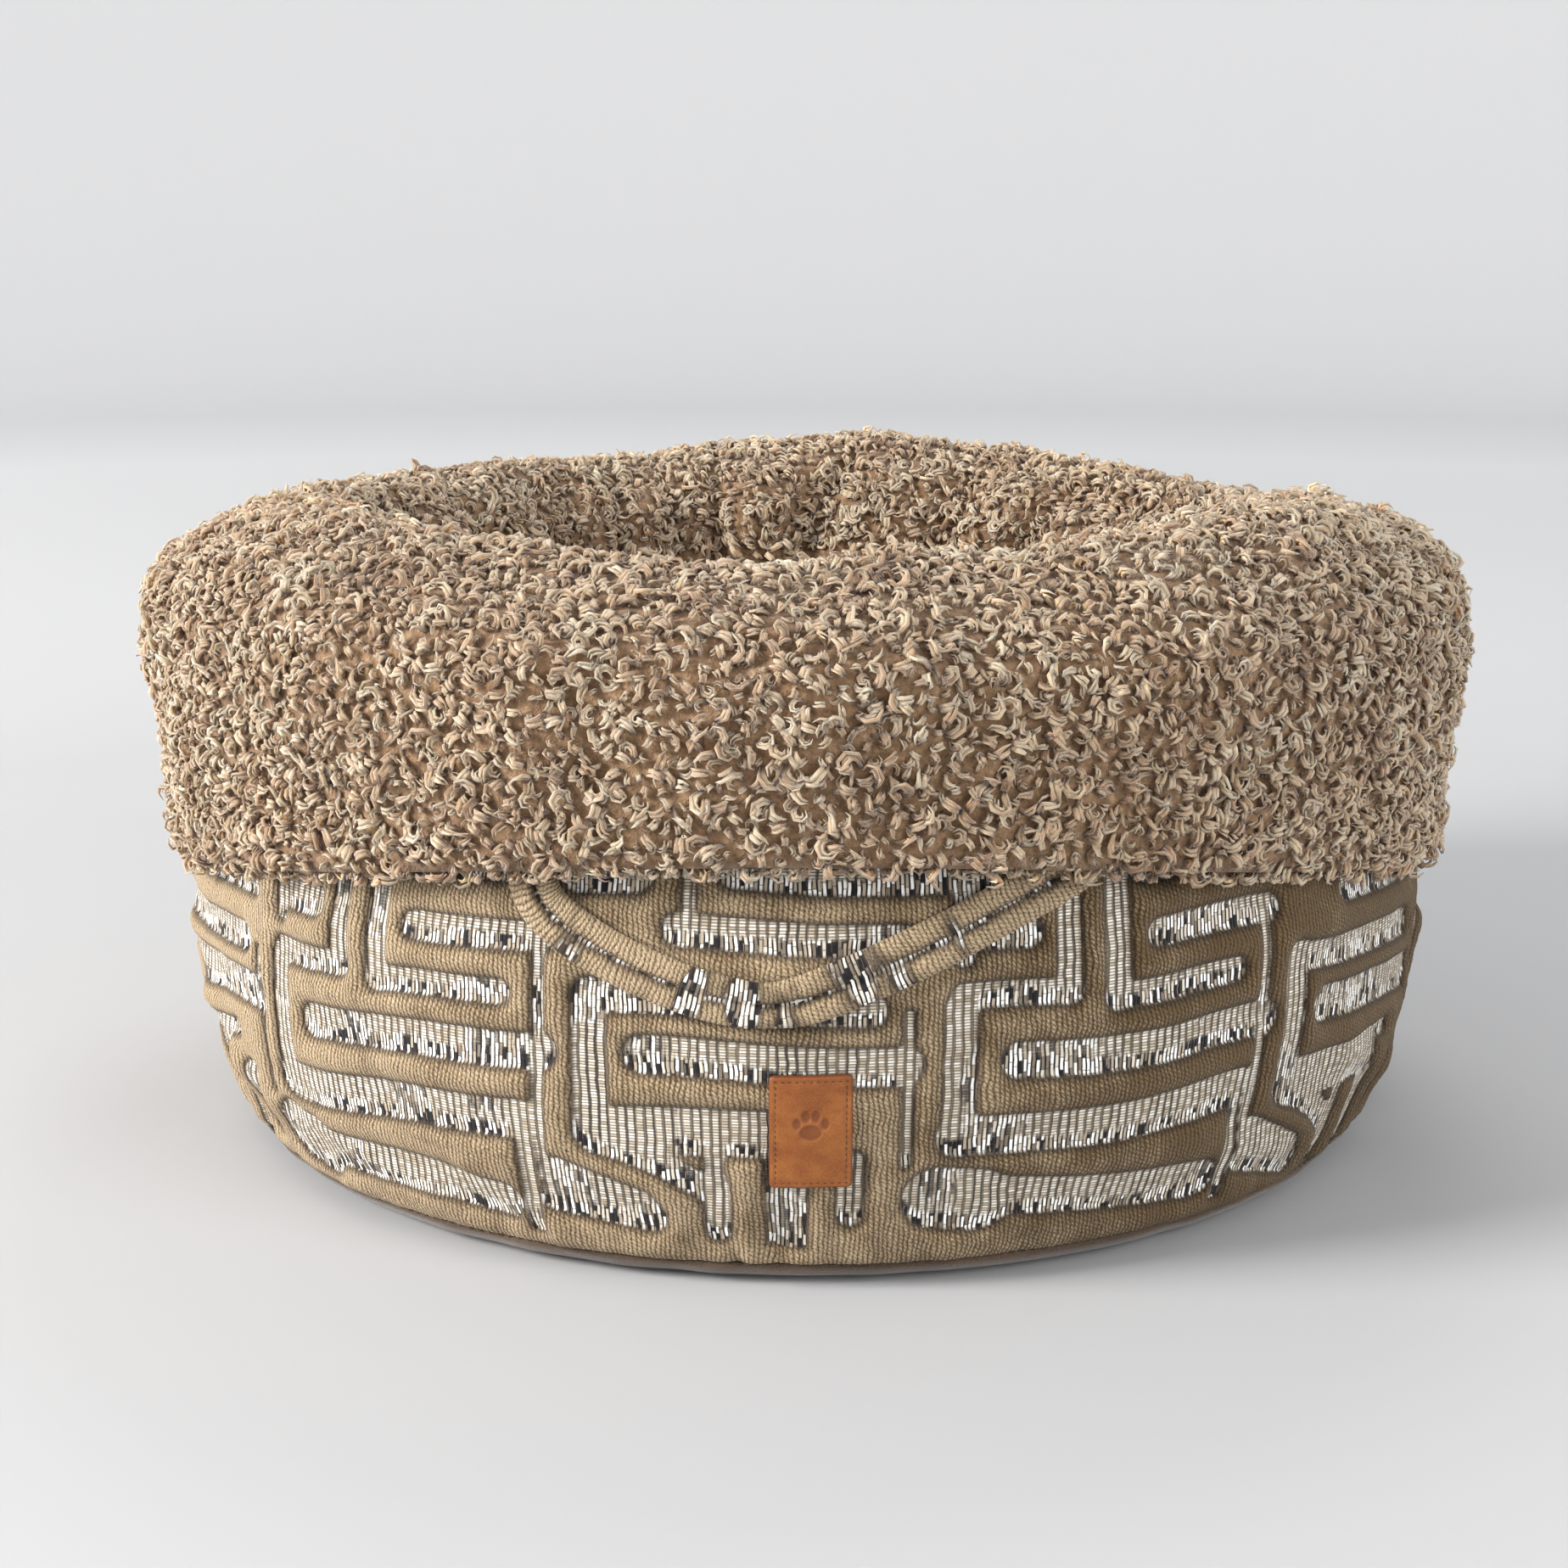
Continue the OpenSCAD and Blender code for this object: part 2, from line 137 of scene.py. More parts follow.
def newPiece(name, points, faces, material=None, smooth=True):
    mesh = bpy.data.meshes.new(name)
    mesh.from_pydata((np.asarray(points, float).reshape(-1, 3) * mm).tolist(), [], faces)
    mesh.validate()
    if smooth:
        mesh.shade_smooth()
    piece = bpy.data.objects.new(name, mesh)
    bpy.context.scene.collection.objects.link(piece)
    if material:
        mesh.materials.append(material)
    return piece


def setUv(piece, perPoint, layerName="cloth"):
    # perPoint: one (u, v) for each vertex; on cloth in metres along it
    mesh = piece.data
    layer = mesh.uv_layers.new(name=layerName)
    corner = np.empty(len(mesh.loops), int)
    mesh.loops.foreach_get("vertex_index", corner)
    layer.data.foreach_set("uv", np.asarray(perPoint, float).reshape(-1, 2)[corner].ravel())


def setAttribute(piece, name, values):
    attribute = piece.data.attributes.new(name, "FLOAT", "POINT")
    attribute.data.foreach_set("value", np.asarray(values, np.float32).ravel())


def shellPiece(name, outer, inner, material, wrap=False):
    # outer and inner: (rows, cols, 3) skins of one thin closed body
    rows, cols = outer.shape[:2]
    n = rows * cols
    faces = gridFaces(rows, cols, wrap)
    faces += [f[::-1] for f in gridFaces(rows, cols, wrap, n)]
    for j in range(cols if wrap else cols - 1):
        k = (j + 1) % cols
        faces.append([j, j + n, k + n, k])
        top = (rows - 1) * cols
        faces.append([top + k, top + k + n, top + j + n, top + j])
    if not wrap:
        for i in range(rows - 1):
            a, b = i * cols, (i + 1) * cols
            faces.append([a, b, b + n, a + n])
            a, b = a + cols - 1, b + cols - 1
            faces.append([b, a, a + n, b + n])
    return newPiece(name, np.concatenate([outer.reshape(-1, 3), inner.reshape(-1, 3)]), faces, material)


def turned(name, outline, material, steps):
    # a closed outline of (radius, height) points turned round the upright axis
    path = np.array(outline, float)
    phi = np.linspace(0, 2 * math.pi, steps, endpoint=False)
    points = around(phi[None, :], path[:, :1], path[:, 1:])
    faces = gridFaces(len(path), steps, True)
    last = (len(path) - 1) * steps
    faces += [[last + j, last + (j + 1) % steps, (j + 1) % steps, j] for j in range(steps)]
    piece = newPiece(name, points, faces, material)
    tidyNormals(piece)
    return piece


def tidyNormals(piece, merge=0.00001):
    work = bmesh.new()
    work.from_mesh(piece.data)
    bmesh.ops.remove_doubles(work, verts=work.verts, dist=merge)
    bmesh.ops.dissolve_degenerate(work, edges=work.edges, dist=merge)
    bmesh.ops.recalc_face_normals(work, faces=work.faces)
    work.to_mesh(piece.data)
    work.free()
    piece.data.shade_smooth()


def place(piece, body, slotName, *cadNodes):
    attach(piece, body)
    if cadNodes:
        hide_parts(*cadNodes)
    return piece


def addNode(tree, kind, inputs=None, **settings):
    made = tree.nodes.new(kind)
    for key, value in settings.items():
        setattr(made, key, value)
    for key, value in (inputs or {}).items():
        if isinstance(value, bpy.types.NodeSocket):
            tree.links.new(value, made.inputs[key])
        else:
            made.inputs[key].default_value = value
    return made


def maths(tree, operation, a, b=0.0, c=0.0):
    return addNode(tree, "ShaderNodeMath", {0: a, 1: b, 2: c}, operation=operation).outputs[0]


def joined(tree, x, y, z=0.0):
    return addNode(tree, "ShaderNodeCombineXYZ", {0: x, 1: y, 2: z}).outputs[0]


def fromMiddle(tree, cells):
    # 0 in the middle of each whole-number cell, 0.5 at its edges
    return maths(tree, "ABSOLUTE", maths(tree, "SUBTRACT", maths(tree, "FRACT", cells), 0.5))


def chanceOf(tree, number):
    return addNode(tree, "ShaderNodeTexWhiteNoise", {"W": number}, noise_dimensions="1D").outputs[0]


def chanceAt(tree, cell):
    return addNode(tree, "ShaderNodeTexWhiteNoise", {"Vector": cell}, noise_dimensions="2D").outputs[0]


def objectSpot(tree):
    return addNode(tree, "ShaderNodeTexCoord").outputs["Object"]


def attributeOf(tree, name):
    return addNode(tree, "ShaderNodeAttribute", attribute_name=name).outputs["Fac"]


def fade(tree, value, low, high, toLow=0.0, toHigh=1.0):
    made = addNode(tree, "ShaderNodeMapRange", {0: value, 1: low, 2: high, 3: toLow, 4: toHigh},
                   interpolation_type="SMOOTHSTEP")
    return made.outputs[0]


def blendColour(tree, amount, a, b, kind="MIX"):
    made = addNode(tree, "ShaderNodeMix", {0: amount, 6: a, 7: b}, data_type="RGBA", blend_type=kind)
    return made.outputs[2]


def colour(red, green, blue):
    # from ordinary 0-255 screen values
    def linear(v):
        v /= 255
        return v / 12.92 if v <= 0.04045 else ((v + 0.055) / 1.055) ** 2.4
    return (linear(red), linear(green), linear(blue), 1)


def stops(tree, value, pairs, steps=False):
    ramp = addNode(tree, "ShaderNodeValToRGB", {0: value})
    ramp.color_ramp.interpolation = "CONSTANT" if steps else "LINEAR"
    elements = ramp.color_ramp.elements
    while len(elements) < len(pairs):
        elements.new(0.5)
    for element, (at, shade) in zip(elements, pairs):
        element.position = at
        element.color = shade
    return ramp.outputs[0]


def noiseOf(tree, vector, scale, detail=2.0, rough=0.5):
    return addNode(tree, "ShaderNodeTexNoise", {"Vector": vector, "Scale": scale, "Detail": detail,
                                                "Roughness": rough}).outputs[0]


def newFinish(name, roughness=0.7, **sockets):
    finish = bpy.data.materials.new(name)
    finish.use_nodes = True
    tree = finish.node_tree
    shader = tree.nodes["Principled BSDF"]
    shader.inputs["Roughness"].default_value = roughness
    for key, value in sockets.items():
        shader.inputs[key.replace("_", " ")].default_value = value
    return finish, tree, shader


def bump(tree, shader, height, distance):
    made = addNode(tree, "ShaderNodeBump", {"Height": height, "Distance": distance * mm, "Strength": 1.0})
    tree.links.new(made.outputs[0], shader.inputs["Normal"])


def paint(tree, source, shader):
    tree.links.new(source, shader.inputs["Base Color"])


furLook = {
    # gap: the brown of the shade between locks; painted as shade at each lock's root, and the darkest streak
    # tone
    "gap": colour(106, 75, 48),
    "deep": colour(172, 133, 94),
    "mid": colour(222, 187, 146),
    "light": colour(255, 240, 209),
    "rose": colour(206, 176, 160),
    "roughness": 0.6, "specular": 0.28,
    "sheen": 0.85, "sheenRoughness": 0.35, "sheenTint": (1.0, 0.91, 0.86, 1),
    "glow": 0.3, "glowRadius": (1.0, 0.75, 0.5), "glowDepth": 0.002,  # light that passes through thin hair
    "streaks": 2.3, "patches": 1.1,   # how strongly tone differs along a lock and over the hide
    "relief": 1.2,
}


def makeFurLocks():
    finish, tree, shader = newFinish(
        "fur_locks", furLook["roughness"], Specular_IOR_Level=furLook["specular"],
        Sheen_Weight=furLook["sheen"], Sheen_Roughness=furLook["sheenRoughness"],
        Sheen_Tint=furLook["sheenTint"],
        Subsurface_Weight=furLook["glow"], Subsurface_Radius=furLook["glowRadius"],
        Subsurface_Scale=furLook["glowDepth"])
    tone = attributeOf(tree, "tone")
    uv = addNode(tree, "ShaderNodeUVMap", uv_map="lock").outputs[0]
    split = addNode(tree, "ShaderNodeSeparateXYZ", {0: uv})
    along, about = split.outputs[0], split.outputs[1]
    shifted = joined(tree, maths(tree, "MULTIPLY", along, 1.1), maths(tree, "MULTIPLY", about, 5.0),
                     maths(tree, "MULTIPLY", tone, 37.0))
    streak = noiseOf(tree, shifted, 2.2, 3.0, 0.7)
    spot = objectSpot(tree)
    patch = noiseOf(tree, spot, 30.0, 3.0, 0.65)
    shade = maths(tree, "MULTIPLY_ADD", streak, furLook["streaks"], -0.95)
    shade = maths(tree, "MULTIPLY_ADD", tone, 0.34, shade)
    shade = maths(tree, "MULTIPLY_ADD", patch, furLook["patches"], maths(tree, "SUBTRACT", shade, 0.55))
    shade = maths(tree, "MULTIPLY_ADD", along, 0.32, shade)
    body = stops(tree, shade, [(0.0, furLook["gap"]), (0.22, furLook["deep"]), (0.52, furLook["mid"]),
                               (0.95, furLook["light"])])
    drift = fade(tree, noiseOf(tree, spot, 5.0), 0.48, 0.7, 0.0, 0.5)
    body = blendColour(tree, drift, body, furLook["rose"], "SOFT_LIGHT")
    # painted shade: each lock darkens to the gap brown towards its root, where the locks crowd together
    rootShade = fade(tree, along, 0.0, 0.22)
    paint(tree, blendColour(tree, rootShade, furLook["gap"], body), shader)
    bump(tree, shader, streak, furLook["relief"])
    return finish


def makeFurSkin():
    finish, tree, shader = newFinish("fur_skin", 0.85, Sheen_Weight=0.2, Specular_IOR_Level=0.2)
    spot = objectSpot(tree)
    tuft = noiseOf(tree, spot, 420.0, 3.0, 0.7)
    fleck = addNode(tree, "ShaderNodeTexVoronoi", {"Vector": spot, "Scale": 260.0}).outputs[0]
    shade = stops(tree, maths(tree, "MULTIPLY_ADD", fleck, -0.5, maths(tree, "ADD", tuft, 0.12)),
                  [(0.0, colour(92, 68, 47)), (0.5, colour(144, 115, 86)), (1.0, colour(206, 174, 140))])
    paint(tree, shade, shader)
    bump(tree, shader, tuft, 1.6)
    return finish


clothLook = {
    "velvet": colour(112, 87, 52),        # pile leaning away; also the painted shade of the side away from the light
    "velvetWornAndLit": colour(202, 175, 138),  # pile brushed flat; also the painted light on the lit left side
    # the next two: painted shade for the pile's low parts and the bands' edges, and a painted highlight for
    # the tufts' tops
    "velvetShade": colour(42, 27, 12),
    "velvetHighlight": colour(222, 200, 166),
    "ribPitch": 1.8, "tuftPitch": 1.7,    # the cut pile's ribs and the tufts along them
    "columnPitch": 3.3, "weftPitch": 1.1,
    "blockLength": 4.6, "slitLength": 3.1,
    "roughness": 0.78, "specular": 0.25,
    "sheen": 0.13, "sheenRoughness": 0.45, "sheenTint": (1.0, 0.93, 0.84, 1),
    "relief": 0.95,
}


def velvetParts(tree, u, v, napAndSideLight):
    # colour and height of the cut pile: upright ribs of small slanting tufts, with painted shade low and
    # painted highlights high; u and v in millimetres
    spot = joined(tree, u, v)
    sway = noiseOf(tree, spot, 0.16)
    rib = maths(tree, "DIVIDE", maths(tree, "MULTIPLY_ADD", sway, 2.6, u), clothLook["ribPitch"])
    acrossRib = maths(tree, "SUBTRACT", maths(tree, "FRACT", rib), 0.5)
    shift = maths(tree, "MULTIPLY", maths(tree, "MODULO", maths(tree, "FLOOR", rib), 2.0), 0.5)
    tuft = maths(tree, "ADD", maths(tree, "DIVIDE", v, clothLook["tuftPitch"]), shift)
    bead = fromMiddle(tree, maths(tree, "MULTIPLY_ADD", acrossRib, 0.9, tuft))
    ribHeight = fade(tree, maths(tree, "ABSOLUTE", acrossRib), 0.5, 0.1)
    height = maths(tree, "MULTIPLY", ribHeight, fade(tree, bead, 0.5, 0.15, 0.35, 1.0))
    fine = noiseOf(tree, spot, 1.25, 4.0, 0.8)
    broad = noiseOf(tree, spot, 0.055, 4.0, 0.7)
    # random brushed patches of pile plus painted side light, paler on the left and darker on the right
    brushedAndLit = maths(tree, "MULTIPLY_ADD", broad, 1.5, maths(tree, "SUBTRACT", napAndSideLight, 0.75))
    base = blendColour(tree, fade(tree, brushedAndLit, 0.0, 1.0), clothLook["velvet"], clothLook["velvetWornAndLit"])
    depth = maths(tree, "MULTIPLY_ADD", fine, 1.5, maths(tree, "MULTIPLY", height, 0.5))
    # painted shade where the pile lies low, painted highlight where it stands high
    shade = blendColour(tree, fade(tree, depth, 0.55, 1.1), clothLook["velvetShade"], base)
    glint = maths(tree, "MULTIPLY", fade(tree, depth, 1.0, 1.45), fade(tree, brushedAndLit, -0.3, 0.7))
    shade = blendColour(tree, glint, shade, clothLook["velvetHighlight"])
    return shade, maths(tree, "MULTIPLY_ADD", fine, 1.1, maths(tree, "MULTIPLY", height, 0.7))


def groundParts(tree, u, v, slub):
    # colour and height of the flat-woven ground: pale laddered columns with dark slits between,
    # and loose white and black floats where the ladder gives way
    column = maths(tree, "DIVIDE", u, clothLook["columnPitch"])
    number = maths(tree, "FLOOR", column)
    rung = maths(tree, "DIVIDE", v, clothLook["weftPitch"])
    rungPick = chanceAt(tree, joined(tree, number, maths(tree, "FLOOR", rung)))
    ladder = fade(tree, fromMiddle(tree, rung), 0.46, 0.22)
    slit = fade(tree, fromMiddle(tree, column), 0.24, 0.42)
    quiet = stops(tree, rungPick, [(0.0, colour(174, 159, 137)), (0.4, colour(210, 198, 179)),
                                   (1.0, colour(245, 238, 226))])
    quiet = blendColour(tree, fade(tree, ladder, 1.0, 0.0, 0.0, 0.72), quiet, colour(92, 80, 66))
    slitShade = stops(tree, chanceOf(tree, number), [(0.0, colour(40, 36, 36)), (0.4, colour(98, 86, 72)),
                                                     (1.0, colour(132, 120, 102))])
    quiet = blendColour(tree, maths(tree, "MULTIPLY", slit, 0.95), quiet, slitShade)
    half = maths(tree, "MULTIPLY", column, 2.0)
    halfNumber = maths(tree, "FLOOR", half)
    halfSlide = chanceOf(tree, halfNumber)
    row = maths(tree, "MULTIPLY_ADD", halfSlide, 7.0, maths(tree, "DIVIDE", v, clothLook["blockLength"]))
    pick = chanceAt(tree, joined(tree, halfNumber, maths(tree, "FLOOR", row)))
    lively = stops(tree, pick, [(0.0, colour(28, 26, 30)), (0.19, colour(126, 114, 100)),
                                (0.3, colour(176, 162, 142)), (0.46, colour(218, 208, 192)),
                                (0.66, colour(255, 252, 246))], True)
    rowEnd = fade(tree, fromMiddle(tree, row), 0.42, 0.5)
    slitRow = maths(tree, "MULTIPLY_ADD", halfSlide, 5.0, maths(tree, "DIVIDE", v, clothLook["slitLength"]))
    slitColumn = maths(tree, "ADD", maths(tree, "FLOOR", maths(tree, "ADD", half, 0.5)), 40.5)
    slitPick = chanceAt(tree, joined(tree, slitColumn, maths(tree, "FLOOR", slitRow)))
    livelySlit = stops(tree, slitPick, [(0.0, colour(16, 16, 22)), (0.74, colour(84, 74, 64)),
                                        (0.88, colour(150, 138, 122))], True)
    halfEdge = fade(tree, fromMiddle(tree, half), 0.26, 0.4)
    lively = blendColour(tree, halfEdge, lively, livelySlit)
    lively = blendColour(tree, maths(tree, "MULTIPLY", rowEnd, 0.7), lively, colour(60, 52, 46))
    shade = blendColour(tree, slub, quiet, lively)
    quietHeight = maths(tree, "MULTIPLY_ADD", ladder, 0.35, maths(tree, "MULTIPLY", slit, -0.8))
    livelyHeight = maths(tree, "MULTIPLY_ADD", pick, 0.7, maths(tree, "MULTIPLY", halfEdge, -0.8))
    height = addNode(tree, "ShaderNodeMix", {0: slub, 2: quietHeight, 3: livelyHeight}).outputs[0]
    return shade, height


def makePatternedCloth():
    finish, tree, shader = newFinish(
        "patterned_cloth", clothLook["roughness"], Specular_IOR_Level=clothLook["specular"],
        Sheen_Weight=clothLook["sheen"], Sheen_Roughness=clothLook["sheenRoughness"],
        Sheen_Tint=clothLook["sheenTint"])
    uv = addNode(tree, "ShaderNodeUVMap", uv_map="cloth").outputs[0]
    split = addNode(tree, "ShaderNodeSeparateXYZ", {0: uv})
    wander = noiseOf(tree, uv, 70.0)
    u = maths(tree, "MULTIPLY_ADD", wander, 2.4, maths(tree, "MULTIPLY", split.outputs[0], 1000.0))
    v = maths(tree, "MULTIPLY", split.outputs[1], 1000.0)
    pile = attributeOf(tree, "pile")
    slub = attributeOf(tree, "slub")
    ragged = maths(tree, "MULTIPLY_ADD", noiseOf(tree, uv, 1500.0), 0.9, maths(tree, "SUBTRACT", pile, 0.45))
    isPile = fade(tree, ragged, -0.25, 0.25)
    napAndSideLight = attributeOf(tree, "napAndSideLight")
    velvet, velvetHeight = velvetParts(tree, u, v, napAndSideLight)
    ground, groundHeight = groundParts(tree, u, v, slub)
    # painted shade: the velvet darkens towards the edges of its bands, beside the channels
    velvet = blendColour(tree, fade(tree, ragged, 2.6, 0.0, 0.0, 0.66), velvet, clothLook["velvetShade"])
    shadow = fade(tree, ragged, -1.3, 0.0, 0.0, 0.75)
    ground = blendColour(tree, shadow, ground, colour(70, 56, 42))
    paint(tree, blendColour(tree, isPile, ground, velvet), shader)
    height = maths(tree, "ADD", maths(tree, "MULTIPLY", isPile, velvetHeight),
                   maths(tree, "MULTIPLY", maths(tree, "SUBTRACT", 1.0, isPile), groundHeight))
    bump(tree, shader, height, clothLook["relief"])
    return finish


def plainWeave(name, dark, light, pitch=0.9, roughness=0.85, sheen=0.2, depth=0.25):
    finish, tree, shader = newFinish(name, roughness, Sheen_Weight=sheen, Specular_IOR_Level=0.25)
    spot = objectSpot(tree)
    fuzz = noiseOf(tree, spot, 1100.0 / pitch, 3.0, 0.7)
    broad = noiseOf(tree, spot, 22.0, 3.0)
    shade = maths(tree, "MULTIPLY_ADD", broad, 0.5, maths(tree, "MULTIPLY", fuzz, 0.6))
    paint(tree, stops(tree, shade, [(0.3, dark), (0.8, light)]), shader)
    bump(tree, shader, fuzz, depth)
    return finish


def makeLeather():
    finish, tree, shader = newFinish("leather_label", 0.5, Specular_IOR_Level=0.45)
    spot = objectSpot(tree)
    grain = addNode(tree, "ShaderNodeTexVoronoi", {"Vector": spot, "Scale": 1500.0}).outputs[0]
    broad = noiseOf(tree, spot, 90.0, 4.0, 0.6)
    edge = attributeOf(tree, "burnish")
    shade = stops(tree, maths(tree, "MULTIPLY_ADD", grain, 0.22, broad),
                  [(0.3, colour(108, 56, 18)), (0.55, colour(136, 76, 28)), (0.85, colour(160, 98, 44))])
    paint(tree, blendColour(tree, edge, shade, colour(96, 44, 16)), shader)
    bump(tree, shader, maths(tree, "MULTIPLY_ADD", grain, 0.5, broad), 0.12)
    return finish


def makeMetal(name, shade, roughness):
    finish, tree, shader = newFinish(name, roughness, Metallic=1.0)
    spot = objectSpot(tree)
    scuff = noiseOf(tree, spot, 900.0, 3.0, 0.7)
    paint(tree, stops(tree, scuff, [(0.2, tuple(0.75 * c for c in shade[:3]) + (1,)), (0.8, shade)]), shader)
    bump(tree, shader, scuff, 0.03)
    return finish


furLocks = makeFurLocks()
furSkin = makeFurSkin()
patternedCloth = makePatternedCloth()
brownCloth = plainWeave("brown_cloth", colour(48, 36, 26), colour(98, 78, 58), sheen=0.35, depth=0.4)
hemCloth = plainWeave("hem_cloth", colour(104, 88, 72), colour(150, 132, 112))
waddingStuff = plainWeave("wadding", colour(214, 208, 196), colour(240, 236, 226), 3.0, depth=1.2)
threadStuff = plainWeave("dark_thread", colour(44, 34, 26), colour(84, 68, 52), 0.5, 0.7)
labelThread = plainWeave("label_thread", colour(50, 26, 12), colour(84, 46, 22), 0.4, 0.6)
zipTapeStuff = plainWeave("zip_tape", colour(76, 62, 50), colour(108, 92, 76), 0.6)
leatherStuff = makeLeather()
zipMetal = makeMetal("zip_metal", (0.52, 0.49, 0.45, 1), 0.38)
zipTeethMetal = makeMetal("zip_teeth_metal", (0.2, 0.18, 0.16, 1), 0.42)
print("finishes made")


bed = {
    "cuffProud": 16.0, "wallTaper": 18.5, "wallLean": 26.0, "foldDrop": 34.0, "bellyDrop": 24.0,
    "crestInset": 60.0, "rimWidth": 117.0, "floorSpread": 14.0, "pocketGap": 7.0, "footInset": 15.0,
    "hemDropFront": 99.0, "hemDropSide": 146.0, "cuffBellyDrop": 49.0,
    "seamHeight": 9.2, "threadRadius": 0.7,
}

bedRadius = cadHigh[0] / mm
bedHeight = cadHigh[2] / mm
floorHeight = boxOf("floor_lining")[1][2]
wallRadius = bedRadius - bed["cuffProud"]
baseRadius = wallRadius - bed["wallTaper"]
footRadius = baseRadius - bed["footInset"]
crestRadius = bedRadius - bed["crestInset"]
mouthRadius = bedRadius - bed["rimWidth"]
floorRadius = mouthRadius + bed["floorSpread"]
foldHeight = bedHeight - bed["foldDrop"]
hemFront = bedHeight - bed["hemDropFront"]
hemSide = bedHeight - bed["hemDropSide"]
bellyHeight = hemSide - bed["bellyDrop"]
wallLow = bed["seamHeight"] + bed["threadRadius"] + 0.1
hemRise = hemFront - hemSide
hemArch = (bedRadius ** 2 + hemRise ** 2) / (2 * hemRise)
clothRadius = 250.0  # the pattern's widths are laid out on this radius


def hemAt(x):
    return hemFront - hemArch + np.sqrt(hemArch ** 2 - np.asarray(x, float) ** 2)


def wallAt(z):
    z = np.asarray(z, float)
    below = bed["wallTaper"] * ((z - bellyHeight) / (bellyHeight - bed["seamHeight"])) ** 2
    above = bed["wallLean"] * ((z - bellyHeight) / (foldHeight - bellyHeight)) ** 2
    return wallRadius - np.where(z < bellyHeight, below, above)


# soft folds of the wall: (s, z) start, (s, z) end, width across, height outwards
wallFolds = [
    ((-330, 96), (-262, 40), 9, 2.6), ((-300, 60), (-225, 28), 8, 2.4), ((-372, 80), (-330, 30), 10, 2.2),
    ((-214, 36), (-150, 21), 7, 2.0), ((-128, 40), (-96, 16), 6, 1.8), ((-32, 30), (-22, 12), 5, 2.4),
    ((-18, 28), (-11, 12), 4, -2.2), ((70, 30), (96, 14), 7, 1.6), ((150, 44), (205, 26), 8, 1.9),
    ((236, 60), (300, 36), 9, 2.3), ((330, 90), (378, 40), 10, 2.4), ((-190, 118), (-120, 128), 12, 1.8),
    ((180, 112), (262, 126), 12, 1.8), ((-60, 108), (40, 100), 16, 1.4),
]


def strokeDistance(s, z, points):
    best = np.full(np.shape(s), 1e9)
    for (s0, z0), (s1, z1) in zip(points, points[1:]):
        ds, dz = s1 - s0, z1 - z0
        t = np.clip(((s - s0) * ds + (z - z0) * dz) / max(ds * ds + dz * dz, 1e-9), 0, 1)
        best = np.minimum(best, np.hypot(s - s0 - t * ds, z - z0 - t * dz))
    return best


def wallSlack(s, z, seed=0.0):
    # how far the soft wall stands off its plain turned shape
    s, z = np.broadcast_arrays(np.asarray(s, float), np.asarray(z, float))
    phi = s / clothRadius
    spot = around(phi, clothRadius, z)
    slack = 2.6 * softNoise(spot, 66, seed + 3.1) + 1.1 * softNoise(spot, 25, seed + 9.7)
    for start, end, width, height in wallFolds:
        slack = slack + height * np.exp(-(strokeDistance(s, z, [start, end]) / width) ** 2)
    gather = softNoise(np.stack([s, 0 * s, 0 * s + seed], axis=-1), 9.5, 1.3)
    slack = slack + 2.6 * gather * np.exp(-np.maximum(z - wallLow, 0) / 11)
    slack = slack - 4.5 * np.exp(-((s + 27) / 3.2) ** 2) * np.exp(-np.maximum(z - wallLow, 0) / 9)
    return slack * smoothStep(wallLow - 6, wallLow + 7, z)


furKnots = [
    (bedRadius - 9.5, hemSide - 12), (bedRadius - 4.5, hemSide + 40),
    (bedRadius, bedHeight - bed["cuffBellyDrop"]), (bedRadius - 12, bedHeight - 22),
    (crestRadius, bedHeight), (mouthRadius + 18, bedHeight - 13),
    (mouthRadius, bedHeight - 50), (mouthRadius + bed["floorSpread"] / 3, (bedHeight + floorHeight) / 2 - 5),
    (floorRadius, floorHeight),
]
spanSteps = 24
furFace = curveThrough(furKnots, spanSteps)
furInward = leftOf(furFace)
crestRow, mouthRow = 4 * spanSteps, 6 * spanSteps

# the rolled rim isn't level: (degrees round from the front, height of its crest over the plain rim)
rimHeights = [
    (-180, -4), (-153, -8), (-125, -7), (-100, -5), (-80, 0), (-60, 3), (-41, 7), (-30, 1), (-21, -3),
    (-16, 1),
    (-12, -3), (0, -1), (10, 1), (15.5, -5), (24, -1), (40, 2), (54, 6), (80, -2), (110, -14), (126, -12),
    (140, -7), (161, -2), (174, 1),
]


def rimLift(phi):
    degrees = (np.degrees(phi) + 180) % 360 - 180
    at = np.array([a for a, _ in rimHeights] + [rimHeights[0][0] + 360.0])
    lift = np.array([h for _, h in rimHeights] + [float(rimHeights[0][1])])
    total = 0
    for offset, share in ((-5, 0.25), (0, 0.5), (5, 0.25)):
        turnedBy = (degrees + offset + 180) % 360 - 180
        total = total + share * np.interp(turnedBy, at, lift)
    return total


peltLook = {
    "skinDepth": 3.9,      # how far the hide lies under the tips of the curls
    "hemDepth": 2.6,
    "hideThickness": 1.6,
    "columns": 264,
    "outerRows": 20, "crestRows": 32, "innerRows": 20,
    "lumpHeight": 3.8, "gatherHeight": 9.0,
}


